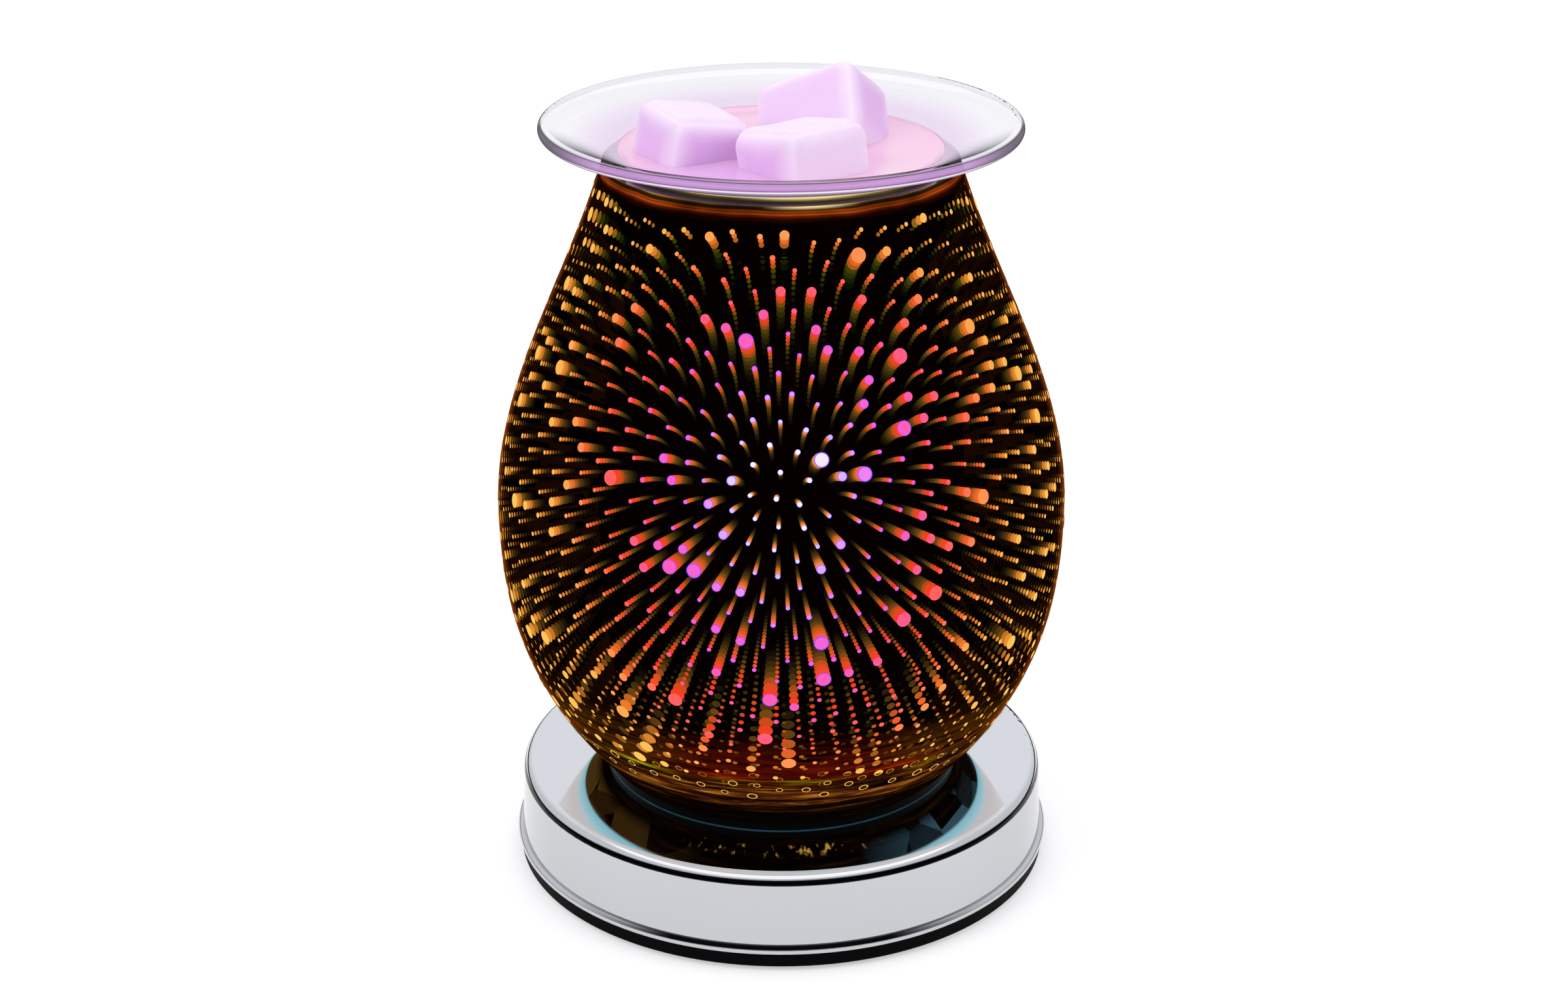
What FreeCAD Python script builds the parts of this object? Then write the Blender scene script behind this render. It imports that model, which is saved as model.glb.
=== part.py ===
import FreeCAD
import Part
import math
import os

# Wax melt warmer with a touch dimmer: a round plated base, a blown glass shade standing on it
# and a loose glass dish of wax on top. Millimetres, +Z up. The origin is at the bottom centre,
# on the surface that the feet stand on; -Y is the front and the cord leaves at the back, +Y.

os.makedirs("parts", exist_ok=True)
X_AXIS = FreeCAD.Vector(1, 0, 0)
Y_AXIS = FreeCAD.Vector(0, 1, 0)
Z_AXIS = FreeCAD.Vector(0, 0, 1)
ORIGIN = FreeCAD.Vector(0, 0, 0)

# Clearances and overruns
overrun = 1.0  # how far a cutting tool runs past a face
screw_fit = 0.05  # radial, a screw in its thread
shaft_fit = 0.1  # radial, a stem or screw through a plain hole
edge_fit = 0.15  # radial, the base plate's spigot in the shell
seat_gap = 0.3  # between pieces that only rest on each other
pin_fit = 0.06  # radial, a lamp pin in its contact

# Base shell: a drawn steel cup, open downwards, with a rolled bead round its lower edge
base_r = 57.0
shell_taper = 0.8
shell_height = 17.4
shell_sheet = 1.0
shell_edge_r = 2.4
bead_proud = 1.0
bead_height = 2.0

# Base plate and feet
plate_overhang = 0.3
plate_rim_height = 2.9
plate_floor = 2.0
plate_edge_r = 0.5
spigot_height = 2.5
spigot_wall = 1.8
foot_r = 5.0
foot_proud = 1.0
foot_sink = 1.0
foot_inset = 11.0
foot_count = 4
foot_edge_r = 0.4

# Screws that hold the base plate to pillars under the shell
pillar_count = 3
pillar_r = 3.2
pillar_inset = 13.5
pillar_depth = 9.0
boss_wall = 1.6
plate_screw_r = 1.5
plate_screw_head_r = 2.8
plate_screw_head = 2.0
plate_screw_grip = 5.0
counterbore_fit = 0.4

# Cord inlet
inlet_bore_r = 3.1
inlet_neck_wall = 1.4
inlet_flange = 1.5
inlet_flange_depth = 1.4

# Hollow threaded stem and the nuts on it
stem_r = 5.0
stem_wall = 1.25
stem_end = 1.0
nut_flats = 14.0
nut_height = 3.0
washer_r = 8.5
lock_washer_thick = 1.0
ring_terminal_thick = 0.8

# Glass shade: outer foot, belly and mouth, with one wall thickness
shade_foot_r = 39.0
shade_belly_r = 59.6
shade_mouth_r = 36.0
shade_belly_height = 57.0
shade_height = 130.2
shade_wall = 1.6
shade_floor = 2.6
shade_foot_edge = 1.0
shade_hole_r = 12.0
shade_lower_power_share = 2.55
shade_upper_bend_share = 2.07
shade_stations = 10

# Gaskets and clamp plate that hold the shade
gasket_thick = 1.8
gasket_width = 3.0
gasket_inset = 0.2
upper_gasket_thick = 1.5
floor_gasket_r = 19.0
clamp_plate_thick = 1.5
clamp_plate_r = 20.0

# Lamp holder, its bracket and contacts
bracket_gap = 2.1
bracket_sheet = 1.2
bracket_width = 14.0
bracket_leg = 14.0
bracket_leg_clear = 0.8
holder_length = 24.0
holder_width = 16.0
holder_height = 18.0
holder_corner_r = 3.0
ear_thick = 4.0
ear_length = 8.0
holder_screw_r = 1.5
holder_screw_head_r = 2.6
holder_screw_head = 1.8
holder_screw_tail = 2.0
slot_depth = 5.5
slot_web = 2.5
slot_fit = 0.5
contact_length = 7.5
contact_side = 4.6

# Lamp: a small pin-based halogen capsule
lamp_r = 6.9
lamp_glass = 0.9
lamp_height = 45.0
lamp_shoulder = 9.0
pinch_length = 13.0
pinch_width = 4.2
pin_pitch = 9.0
pin_r = 0.5
pin_length = 7.0
filament_r = 0.6
filament_span = 6.0
filament_height = 18.0
filament_feet = 10.0

# Leads
lead_r = 1.1
lead_pitch = 3.0
lead_entry_depth = 3.0
lead_hole_fit = 0.2

# Dimmer board and what is on it
board_thick = 1.6
board_margin = 1.0
board_gap = 1.0
board_stem_clear = 3.0
standoff_height = 3.0
standoff_r = 2.6
board_screw_r = 1.1
board_screw_head_r = 2.1
board_screw_head = 1.4
board_screw_grip = 3.5
terminal_width = 8.0
terminal_height = 8.5
terminal_pitch = 5.0
terminal_ways = 4
terminal_entry_height = 3.0
terminal_screw_r = 1.5
terminal_screw_slot = 0.5
terminal_screw_sink = 1.0
terminal_screw_length = 3.0
chip_width = 6.4
chip_length = 9.5
chip_height = 3.3
triac_width = 9.0
triac_length = 10.0
triac_height = 4.4
triac_tab = 1.3
triac_tab_length = 3.4
triac_hole_r = 1.2
capacitor_length = 11.0
capacitor_width = 5.0
capacitor_height = 8.0
capacitor_edge_r = 0.8
choke_r = 3.4
choke_section_r = 1.5
resistor_count = 3
resistor_length = 5.5
resistor_r = 1.1
resistor_wire_r = 0.3
resistor_reach = 1.4
terminal_barrel_r = 1.7
terminal_barrel_length = 5.0
terminal_neck = 4.0

# Glass dish: a flange with a thicker rim, and a round well that hangs in the shade's mouth
dish_rim_r = 48.5
dish_rise = 6.6
dish_glass = 1.9
rim_bead_r = 1.35
well_depth = 7.0
well_corner_r = 6.0

# Wax: a melted pool and three part-melted cubes
wax_level = 1.6
wax_film = 0.8
wax_edge_r = 3.6
wax_clearance = 0.35

# Heights that follow, from the feet up
plate_bottom_z = foot_proud
plate_floor_z = plate_bottom_z + plate_floor
shell_bottom_z = plate_bottom_z + plate_rim_height
shell_top_z = shell_bottom_z + shell_height
shell_under_z = shell_top_z - shell_sheet
touch_ring_z = shell_under_z - ring_terminal_thick
lock_washer_z = touch_ring_z - lock_washer_thick
stem_nut_z = lock_washer_z - nut_height
stem_bottom_z = stem_nut_z - stem_end
shade_bottom_z = shell_top_z + gasket_thick
shade_floor_z = shade_bottom_z + shade_floor
clamp_plate_z = shade_floor_z + upper_gasket_thick
clamp_nut_z = clamp_plate_z + clamp_plate_thick
lower_jam_z = clamp_nut_z + nut_height + bracket_gap
bracket_z = lower_jam_z + nut_height
bracket_floor_z = bracket_z + bracket_sheet
stem_top_z = bracket_floor_z + nut_height + stem_end
holder_z = bracket_z + bracket_leg + bracket_sheet
holder_face_z = holder_z + holder_height
pinch_z = holder_face_z - slot_depth + seat_gap
board_z = plate_floor_z + standoff_height
board_top_z = board_z + board_thick
inlet_flange_r = inlet_bore_r + inlet_neck_wall + inlet_flange_depth
inlet_z = shell_bottom_z + spigot_height + seat_gap + inlet_flange_r
shade_curve_z = shade_bottom_z + shade_foot_edge
belly_z = shade_curve_z + shade_belly_height
mouth_z = shade_curve_z + shade_height


def rz(r, z):
    """A point of an outline in the XZ plane, at radius r and height z."""
    return FreeCAD.Vector(r, 0, z)


def line(start, end):
    return Part.LineSegment(start, end).toShape()


def arc(start, middle, end):
    return Part.Arc(start, middle, end).toShape()


def curve(points):
    spline = Part.BSplineCurve()
    spline.interpolate(points)
    return spline.toShape()


def arc_about(centre, radius, start_angle, end_angle):
    """An arc in the XZ plane about a centre, from one angle to another, in radians from +X."""
    angles = (start_angle, (start_angle + end_angle) / 2, end_angle)
    places = [centre + rz(radius * math.cos(a), radius * math.sin(a)) for a in angles]
    return arc(*places)


def polyline(points):
    return [line(a, b) for a, b in zip(points, points[1:])]


def lathe(edges):
    """The solid that a closed outline of edges in the XZ plane makes when turned about Z."""
    face = Part.Face(Part.Wire(edges))
    return face.revolve(ORIGIN, Z_AXIS, 360)


def disc(r, low_z, high_z, x=0, y=0):
    return Part.makeCylinder(r, high_z - low_z, FreeCAD.Vector(x, y, low_z), Z_AXIS)


def ring(inner_r, outer_r, low_z, high_z, x=0, y=0):
    hole = disc(inner_r, low_z - overrun, high_z + overrun, x, y)
    return disc(outer_r, low_z, high_z, x, y).cut(hole)


def block(x_size, y_size, low_z, high_z, x=0, y=0):
    """An upright block, centred on x and y."""
    corner = FreeCAD.Vector(x - x_size / 2, y - y_size / 2, low_z)
    return Part.makeBox(x_size, y_size, high_z - low_z, corner)


def hexagon(flats, low_z, high_z):
    """A hexagonal prism on the Z axis with two of its flats facing along X."""
    corner_r = flats / math.sqrt(3)
    angles = [math.radians(30 + 60 * i) for i in range(7)]
    points = [FreeCAD.Vector(corner_r * math.cos(a), corner_r * math.sin(a), low_z) for a in angles]
    face = Part.Face(Part.makePolygon(points))
    return face.extrude(Z_AXIS * (high_z - low_z))


def stem_nut(low_z):
    return hexagon(nut_flats, low_z, low_z + nut_height).cut(
        disc(stem_r, low_z - overrun, low_z + nut_height + overrun)
    )


def round_places(count, radius, first_deg=0):
    """Evenly spaced (x, y) places on a circle."""
    angles = [math.radians(first_deg + 360 * i / count) for i in range(count)]
    return [(radius * math.cos(a), radius * math.sin(a)) for a in angles]


def tube_along(points, radius):
    """A round tube along straight runs that are joined by tangent arcs, each as large as its runs allow."""
    edges = []
    start = points[0]
    for before, corner, after in zip(points, points[1:], points[2:]):
        to_before = before - corner
        to_after = after - corner
        shorter = min(to_before.Length, to_after.Length)
        turn = math.pi - to_before.getAngle(to_after)
        reach = 0.45 * shorter
        bend_r = reach / math.tan(turn / 2)
        to_before.normalize()
        to_after.normalize()
        bisector = to_before + to_after
        bisector.normalize()
        centre = corner + bisector * (bend_r / math.cos(turn / 2))
        arc_start = corner + to_before * reach
        arc_end = corner + to_after * reach
        arc_middle = centre - bisector * bend_r
        edges.append(line(start, arc_start))
        edges.append(arc(arc_start, arc_middle, arc_end))
        start = arc_end
    edges.append(line(start, points[-1]))
    path = Part.Wire(edges)
    section = Part.Wire([Part.makeCircle(radius, points[0], points[1] - points[0])])
    return path.makePipeShell([section], True, False)


def save(name, shape):
    shape.exportStep("parts/" + name + ".step")


# Base shell
def shell_outline_solid(inset):
    """The shell's outer form, filled; with an inset it is the hollow that the sheet leaves."""
    low_r = base_r - inset
    high_r = base_r - shell_taper - inset
    corner_r = shell_edge_r - inset
    top_z = shell_top_z - inset
    wall_top = rz(high_r, top_z - corner_r)
    corner = wall_top - rz(corner_r, 0)
    top_edge = arc_about(corner, corner_r, 0, math.pi / 2)
    edges = [line(rz(0, shell_bottom_z), rz(low_r, shell_bottom_z))]
    edges.append(line(rz(low_r, shell_bottom_z), wall_top))
    edges.append(top_edge)
    edges.append(line(corner + rz(0, corner_r), rz(0, top_z)))
    edges.append(line(rz(0, top_z), rz(0, shell_bottom_z)))
    return lathe(edges)


def bead():
    """The rolled bead: half round outside, backed up to the middle of the sheet."""
    back_r = base_r - shell_sheet / 2
    low = rz(base_r, shell_bottom_z)
    middle = rz(base_r + bead_proud, shell_bottom_z + bead_height / 2)
    high = rz(base_r, shell_bottom_z + bead_height)
    back_high = rz(back_r, high.z)
    back_low = rz(back_r, low.z)
    return lathe([arc(low, middle, high)] + polyline([high, back_high, back_low, low]))


inlet_hole_r = inlet_bore_r + inlet_neck_wall
inlet_place = FreeCAD.Vector(0, base_r - shell_taper - shell_sheet - inlet_flange, inlet_z)
inlet_reach = shell_taper + shell_sheet + bead_proud + inlet_flange


def inlet_cylinder(r, past=0):
    start = inlet_place - Y_AXIS * past
    return Part.makeCylinder(r, inlet_reach + inlet_flange + 2 * past, start, Y_AXIS)


shell = shell_outline_solid(0).fuse(bead()).removeSplitter()
shell = shell.cut(shell_outline_solid(shell_sheet))
shell = shell.cut(disc(stem_r + shaft_fit, shell_under_z - overrun, shell_top_z + overrun))
shell = shell.cut(inlet_cylinder(inlet_hole_r, overrun))
save("base_shell", shell)

# Cord inlet grommet: the wall of the shell sits in its groove
grommet = inlet_cylinder(inlet_flange_r)
outer_face = Part.makeCylinder(base_r + inlet_flange, shell_height, rz(0, shell_bottom_z), Z_AXIS)
grommet = grommet.common(outer_face)
grommet = grommet.cut(shell)
grommet = grommet.cut(inlet_cylinder(inlet_bore_r, overrun))
save("cord_grommet", grommet)

# Base plate
plate_r = base_r + plate_overhang
spigot_taper = shell_taper * spigot_height / (shell_height - shell_edge_r)
spigot_r = base_r - shell_sheet - spigot_taper - edge_fit
pillar_places = round_places(pillar_count, base_r - pillar_inset)
foot_places = round_places(foot_count, base_r - foot_inset, 180 / foot_count)
pillar_z = shell_under_z - pillar_depth
boss_r = plate_screw_head_r + counterbore_fit + boss_wall
screw_seat_z = plate_bottom_z + plate_floor + plate_screw_head / 2

# Board outline, from what stands on it: three columns along X and two rows along Y
terminal_length = terminal_pitch * terminal_ways
resistor_reach_length = resistor_length + 2 * resistor_reach
second_width = max(chip_width, resistor_reach_length)
third_width = max(triac_width, 2 * (choke_r + choke_section_r))
screw_row = 2 * standoff_r
resistor_rows = resistor_count * (2 * resistor_r + board_gap)
upper_row = max(chip_length, triac_length, terminal_length / 2)
lower_row = max(resistor_rows, 2 * (choke_r + choke_section_r), terminal_length / 2)
board_width = 2 * board_margin + terminal_width + second_width + third_width + 2 * board_gap
board_right_x = -(stem_r + board_stem_clear + washer_r / 2)
board_left_x = board_right_x - board_width
board_high_y = upper_row + board_gap + screw_row + board_margin
board_low_y = -(lower_row + board_gap + max(screw_row, capacitor_width) + board_margin)
terminal_x = board_right_x - board_margin - terminal_width / 2
second_x = terminal_x - terminal_width / 2 - board_gap - second_width / 2
third_x = second_x - second_width / 2 - board_gap - third_width / 2
board_hole_places = [
    (x, y)
    for x in (board_right_x - board_margin - standoff_r, board_left_x + board_margin + standoff_r)
    for y in (board_low_y + board_margin + standoff_r, board_high_y - board_margin - standoff_r)
]

plate_outline = [
    line(rz(0, plate_bottom_z), rz(plate_r - plate_edge_r, plate_bottom_z)),
    arc_about(rz(plate_r - plate_edge_r, plate_bottom_z + plate_edge_r), plate_edge_r, -math.pi / 2, 0),
]
plate_outline += polyline([
    rz(plate_r, plate_bottom_z + plate_edge_r),
    rz(plate_r, shell_bottom_z),
    rz(spigot_r, shell_bottom_z),
    rz(spigot_r, shell_bottom_z + spigot_height),
    rz(spigot_r - spigot_wall, shell_bottom_z + spigot_height),
    rz(spigot_r - spigot_wall, plate_floor_z),
    rz(0, plate_floor_z),
    rz(0, plate_bottom_z),
])
plate = lathe(plate_outline)
for x, y in pillar_places:
    plate = plate.fuse(disc(boss_r, plate_floor_z, pillar_z, x, y))
for x, y in board_hole_places:
    plate = plate.fuse(disc(standoff_r, plate_floor_z, board_z, x, y))
for x, y in pillar_places:
    plate = plate.cut(disc(plate_screw_head_r + counterbore_fit, plate_bottom_z - overrun, screw_seat_z, x, y))
    plate = plate.cut(disc(plate_screw_r + shaft_fit, plate_bottom_z, pillar_z + overrun, x, y))
for x, y in board_hole_places:
    plate = plate.cut(disc(board_screw_r + screw_fit, board_top_z - board_screw_grip - board_thick, board_z, x, y))
for x, y in foot_places:
    plate = plate.cut(disc(foot_r, plate_bottom_z - overrun, plate_bottom_z + foot_sink, x, y))
save("base_plate", plate)


# Rubber feet, pressed into shallow recesses
def foot(x, y):
    body = disc(foot_r, 0, foot_proud + foot_sink, x, y)
    lower_edge = [e for e in body.Edges if abs(e.BoundBox.ZMax) < foot_proud / 2]
    return body.makeFillet(min(foot_edge_r, foot_proud / 2), lower_edge)


save("rubber_feet", Part.makeCompound([foot(x, y) for x, y in foot_places]))

# Pillars welded under the shell, and the screws that come up into them through the plate
screw_tip_z = pillar_z + plate_screw_grip
pillars = []
plate_screws = []
for x, y in pillar_places:
    thread = disc(plate_screw_r, pillar_z - overrun, screw_tip_z + overrun, x, y)
    pillars.append(disc(pillar_r, pillar_z, shell_under_z, x, y).cut(thread))
    head = disc(plate_screw_head_r, screw_seat_z - plate_screw_head, screw_seat_z, x, y)
    recess = block(plate_screw_head_r, plate_screw_r / 2, 0, screw_seat_z - plate_screw_head / 2, x, y)
    cross = block(plate_screw_r / 2, plate_screw_head_r, 0, screw_seat_z - plate_screw_head / 2, x, y)
    shank = disc(plate_screw_r - screw_fit, screw_seat_z - plate_screw_head / 2, screw_tip_z, x, y)
    plate_screws.append(head.cut(recess).cut(cross).fuse(shank))
save("shell_pillars", Part.makeCompound(pillars))
save("base_plate_screws", Part.makeCompound(plate_screws))

# Stem, its nuts and washers
stem_bore_r = stem_r - stem_wall
save("stem_tube", ring(stem_bore_r, stem_r, stem_bottom_z, stem_top_z))
save("stem_nut", stem_nut(stem_nut_z))
save("clamp_nut", stem_nut(clamp_nut_z))
save("bracket_nuts", Part.makeCompound([stem_nut(lower_jam_z), stem_nut(bracket_floor_z)]))
save("lock_washer", ring(stem_r, washer_r, lock_washer_z, touch_ring_z))

# Touch lead's ring terminal, clamped against the underside of the shell
terminal_ring = disc(washer_r, touch_ring_z, shell_under_z)
neck_end_y = washer_r + terminal_neck
neck = block(2 * terminal_barrel_r, neck_end_y, touch_ring_z, shell_under_z, 0, neck_end_y / 2)
barrel_z = shell_under_z - terminal_barrel_r
barrel_start = FreeCAD.Vector(0, neck_end_y - terminal_neck / 2, barrel_z)
barrel = Part.makeCylinder(terminal_barrel_r, terminal_barrel_length, barrel_start, Y_AXIS)
lead_socket = Part.makeCylinder(lead_r, terminal_barrel_length, barrel_start + Y_AXIS * terminal_neck / 2, Y_AXIS)
touch_terminal = terminal_ring.fuse([neck, barrel]).cut(lead_socket)
touch_terminal = touch_terminal.cut(disc(stem_r, touch_ring_z - overrun, shell_under_z + overrun))
save("touch_terminal", touch_terminal)


# Glass shade
def shade_point(share):
    """A point on the shade's outer curve: share 0 is the foot, 1 the belly and 2 the mouth."""
    if share <= 1:
        widening = 1 - (1 - share) ** shade_lower_power_share
        r = shade_foot_r + (shade_belly_r - shade_foot_r) * widening
        return rz(r, shade_curve_z + shade_belly_height * share)
    up = share - 1
    narrowing = shade_upper_bend_share * up ** 2 - (shade_upper_bend_share - 1) * up ** 3
    r = shade_belly_r - (shade_belly_r - shade_mouth_r) * narrowing
    return rz(r, belly_z + (mouth_z - belly_z) * up)


def shade_normal(share):
    """The unit normal of the outer curve, pointing away from the axis."""
    step = 0.5 / shade_stations
    along = shade_point(min(share + step, 2)) - shade_point(max(share - step, 0))
    along.normalize()
    return rz(along.z, -along.x)


shares = [i / shade_stations for i in range(2 * shade_stations + 1)]
outer_points = [shade_point(s) for s in shares]
inner_points = [shade_point(s) - shade_normal(s) * shade_wall for s in shares]
mouth_outer = outer_points[-1]
mouth_inner = inner_points[-1]
lip_centre = (mouth_outer + mouth_inner) * 0.5
mouth_normal = shade_normal(2)
lip_top = lip_centre + rz(-mouth_normal.z, mouth_normal.x) * (shade_wall / 2)
foot_flat_r = shade_foot_r - shade_foot_edge

outer_edges = [curve(outer_points)]
outer_edges.append(arc(mouth_outer, lip_top, mouth_inner))
outer_edges += polyline([mouth_inner, rz(0, mouth_inner.z), rz(0, shade_bottom_z), rz(foot_flat_r, shade_bottom_z)])
outer_edges.append(arc_about(rz(foot_flat_r, shade_curve_z), shade_foot_edge, -math.pi / 2, 0))
inner_edges = [curve(inner_points)]
inner_edges += polyline([mouth_inner, rz(0, mouth_inner.z), rz(0, inner_points[0].z), inner_points[0]])
cavity = lathe(inner_edges)
floor_block = disc(shade_belly_r, shade_bottom_z, shade_floor_z)
cavity = cavity.cut(floor_block)
shade = lathe(outer_edges).cut(cavity)
shade = shade.cut(disc(shade_hole_r, shade_bottom_z - overrun, shade_floor_z + overrun))
save("glass_shade", shade)

# Gaskets under and in the shade, and the plate that clamps its floor
gasket_r = foot_flat_r - gasket_inset
save("shade_gasket", ring(gasket_r - gasket_width, gasket_r, shell_top_z, shade_bottom_z))
save("floor_gasket_lower", ring(stem_r + shaft_fit, floor_gasket_r, shell_top_z, shade_bottom_z))
save("floor_gasket_upper", ring(stem_r + shaft_fit, floor_gasket_r, shade_floor_z, clamp_plate_z))
save("clamp_plate", ring(stem_r + shaft_fit, clamp_plate_r, clamp_plate_z, clamp_nut_z))

# Lamp holder bracket: a bent strip with two legs and outward flanges
leg_inner_x = nut_flats / 2 + bracket_leg_clear
leg_outer_x = leg_inner_x + bracket_sheet
holder_screw_x = holder_length / 2 + ear_length / 2
flange_end_x = holder_length / 2 + ear_length
flange_z = holder_z - bracket_sheet
bracket = block(2 * leg_outer_x, bracket_width, bracket_z, bracket_floor_z)
for side in (-1, 1):
    leg_x = side * (leg_inner_x + bracket_sheet / 2)
    flange_x = side * (leg_inner_x + flange_end_x) / 2
    bracket = bracket.fuse(block(bracket_sheet, bracket_width, bracket_z, holder_z, leg_x))
    bracket = bracket.fuse(block(flange_end_x - leg_inner_x, bracket_width, flange_z, holder_z, flange_x))
bracket = bracket.removeSplitter()
bracket = bracket.cut(disc(stem_r + shaft_fit, bracket_z - overrun, bracket_floor_z + overrun))
for side in (-1, 1):
    bracket = bracket.cut(disc(holder_screw_r, flange_z - overrun, holder_z + overrun, side * holder_screw_x))
save("holder_bracket", bracket)

# Ceramic lamp holder: a slot for the lamp's pinch, two pin holes and a contact pocket under each
pinch_slot_z = holder_face_z - slot_depth
contact_top_z = pinch_slot_z - slot_web
contact_z = contact_top_z - contact_length
holder_body = block(holder_length, holder_width, holder_z, holder_face_z)
upright_edges = [e for e in holder_body.Edges if e.BoundBox.ZLength > holder_height / 2]
holder = holder_body.makeFillet(holder_corner_r, upright_edges)
holder = holder.fuse(block(2 * flange_end_x, bracket_width, holder_z, holder_z + ear_thick)).removeSplitter()
holder = holder.cut(
    block(pinch_length + 2 * slot_fit, pinch_width + 2 * slot_fit, pinch_slot_z, holder_face_z + overrun)
)
for side in (-1, 1):
    pin_x = side * pin_pitch / 2
    holder = holder.cut(disc(pin_r + shaft_fit, contact_top_z - overrun, pinch_slot_z + overrun, pin_x))
    holder = holder.cut(block(contact_side, contact_side, contact_z, contact_top_z, pin_x))
    holder = holder.cut(disc(lead_r + lead_hole_fit, holder_z - overrun, contact_z + overrun, pin_x))
    screw_x = side * holder_screw_x
    holder = holder.cut(
        disc(holder_screw_r + shaft_fit, holder_z - overrun, holder_z + ear_thick + overrun, screw_x)
    )
save("lamp_holder", holder)

contacts = []
holder_screws = []
for side in (-1, 1):
    pin_x = side * pin_pitch / 2
    socket = disc(pin_r + pin_fit, contact_z - overrun, contact_top_z + overrun, pin_x)
    contacts.append(block(contact_side, contact_side, contact_z, contact_top_z, pin_x).cut(socket))
    screw_x = side * holder_screw_x
    head_z = holder_z + ear_thick
    head = disc(holder_screw_head_r, head_z, head_z + holder_screw_head, screw_x)
    slot_z = head_z + holder_screw_head / 2
    head = head.cut(
        block(2 * holder_screw_head_r, holder_screw_r / 2, slot_z, head_z + holder_screw_head + overrun, screw_x)
    )
    shank = disc(holder_screw_r - screw_fit, flange_z - holder_screw_tail, head_z, screw_x)
    holder_screws.append(head.fuse(shank))
save("holder_contacts", Part.makeCompound(contacts))
save("holder_screws", Part.makeCompound(holder_screws))

# Lamp: envelope with its pinch, two pins and the filament's hairpin
shoulder_z = pinch_z + lamp_shoulder
lamp_top_z = pinch_z + lamp_height


def capsule(r, low_z, high_z):
    """A round-ended capsule on the Z axis."""
    low_centre = rz(0, low_z + r)
    high_centre = rz(0, high_z - r)
    edges = [arc_about(low_centre, r, -math.pi / 2, 0)]
    edges.append(line(rz(r, low_centre.z), rz(r, high_centre.z)))
    edges.append(arc_about(high_centre, r, 0, math.pi / 2))
    edges.append(line(rz(0, high_z), rz(0, low_z)))
    return lathe(edges)


pinch = block(pinch_length, pinch_width, pinch_z, shoulder_z + lamp_r)
bulb = capsule(lamp_r, shoulder_z, lamp_top_z).fuse(pinch)
bulb_hollow = capsule(lamp_r - lamp_glass, shoulder_z + lamp_glass, lamp_top_z - lamp_glass)
bulb = bulb.cut(bulb_hollow)
save("bulb_envelope", bulb)

pins = []
for side in (-1, 1):
    pins.append(disc(pin_r, pinch_z - pin_length, pinch_z, side * pin_pitch / 2))
save("bulb_pins", Part.makeCompound(pins))

filament_low_z = pinch_z + filament_feet
filament_high_z = filament_low_z + filament_height
hairpin = tube_along(
    [
        FreeCAD.Vector(-filament_span / 2, 0, filament_low_z),
        FreeCAD.Vector(-filament_span / 2, 0, filament_high_z),
        FreeCAD.Vector(filament_span / 2, 0, filament_high_z),
        FreeCAD.Vector(filament_span / 2, 0, filament_low_z),
    ],
    filament_r,
)
hairpin = hairpin.cut(bulb)
hairpin = max(hairpin.Solids, key=lambda s: s.Volume)
save("bulb_filament", hairpin)

# Dimmer board
board = block(
    board_width, board_high_y - board_low_y, board_z, board_top_z,
    (board_left_x + board_right_x) / 2, (board_low_y + board_high_y) / 2,
)
board_screws = []
for x, y in board_hole_places:
    board = board.cut(disc(board_screw_r + shaft_fit, board_z - overrun, board_top_z + overrun, x, y))
    head = disc(board_screw_head_r, board_top_z, board_top_z + board_screw_head, x, y)
    shank = disc(board_screw_r, board_top_z - board_screw_grip, board_top_z, x, y)
    board_screws.append(head.fuse(shank))
save("circuit_board", board)
save("board_screws", Part.makeCompound(board_screws))

# Terminal block on the board: four ways, with a screw over each
terminal_block = block(terminal_width, terminal_length, board_top_z, board_top_z + terminal_height, terminal_x)
terminal_face_x = terminal_x + terminal_width / 2
terminal_entry_z = board_top_z + terminal_entry_height
terminal_top_z = board_top_z + terminal_height
way_ys = [terminal_pitch * (i - (terminal_ways - 1) / 2) for i in range(terminal_ways)]
terminal_screws = []
for y in way_ys:
    mouth = FreeCAD.Vector(terminal_face_x - lead_entry_depth, y, terminal_entry_z)
    entry = Part.makeCylinder(lead_r + lead_hole_fit, lead_entry_depth + overrun, mouth, X_AXIS)
    well_z = terminal_top_z - terminal_screw_sink - terminal_screw_length
    screw_well = disc(terminal_screw_r + shaft_fit, well_z, terminal_top_z + overrun, terminal_x, y)
    terminal_block = terminal_block.cut(entry).cut(screw_well)
    screw = disc(terminal_screw_r, well_z, well_z + terminal_screw_length, terminal_x, y)
    slot_z = well_z + terminal_screw_length - terminal_screw_slot
    slot = block(2 * terminal_screw_r, terminal_screw_slot, slot_z, terminal_top_z, terminal_x, y)
    terminal_screws.append(screw.cut(slot))
save("terminal_block", terminal_block)
save("terminal_screws", Part.makeCompound(terminal_screws))

# Parts of the dimmer
chip_y = board_gap + chip_length / 2
save("touch_chip", block(chip_width, chip_length, board_top_z, board_top_z + chip_height, second_x, chip_y))

triac_y = board_gap + triac_length / 2
triac = block(triac_width, triac_length, board_top_z, board_top_z + triac_height, third_x, triac_y)
triac_top_z = board_top_z + triac_height
tab_y = triac_y + (triac_length - triac_tab_length) / 2
over_tab = block(triac_width, triac_tab_length, board_top_z + triac_tab, triac_top_z, third_x, tab_y)
tab_hole = disc(triac_hole_r, board_top_z - overrun, triac_top_z, third_x, tab_y)
save("dimmer_triac", triac.cut(over_tab).cut(tab_hole))

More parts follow.
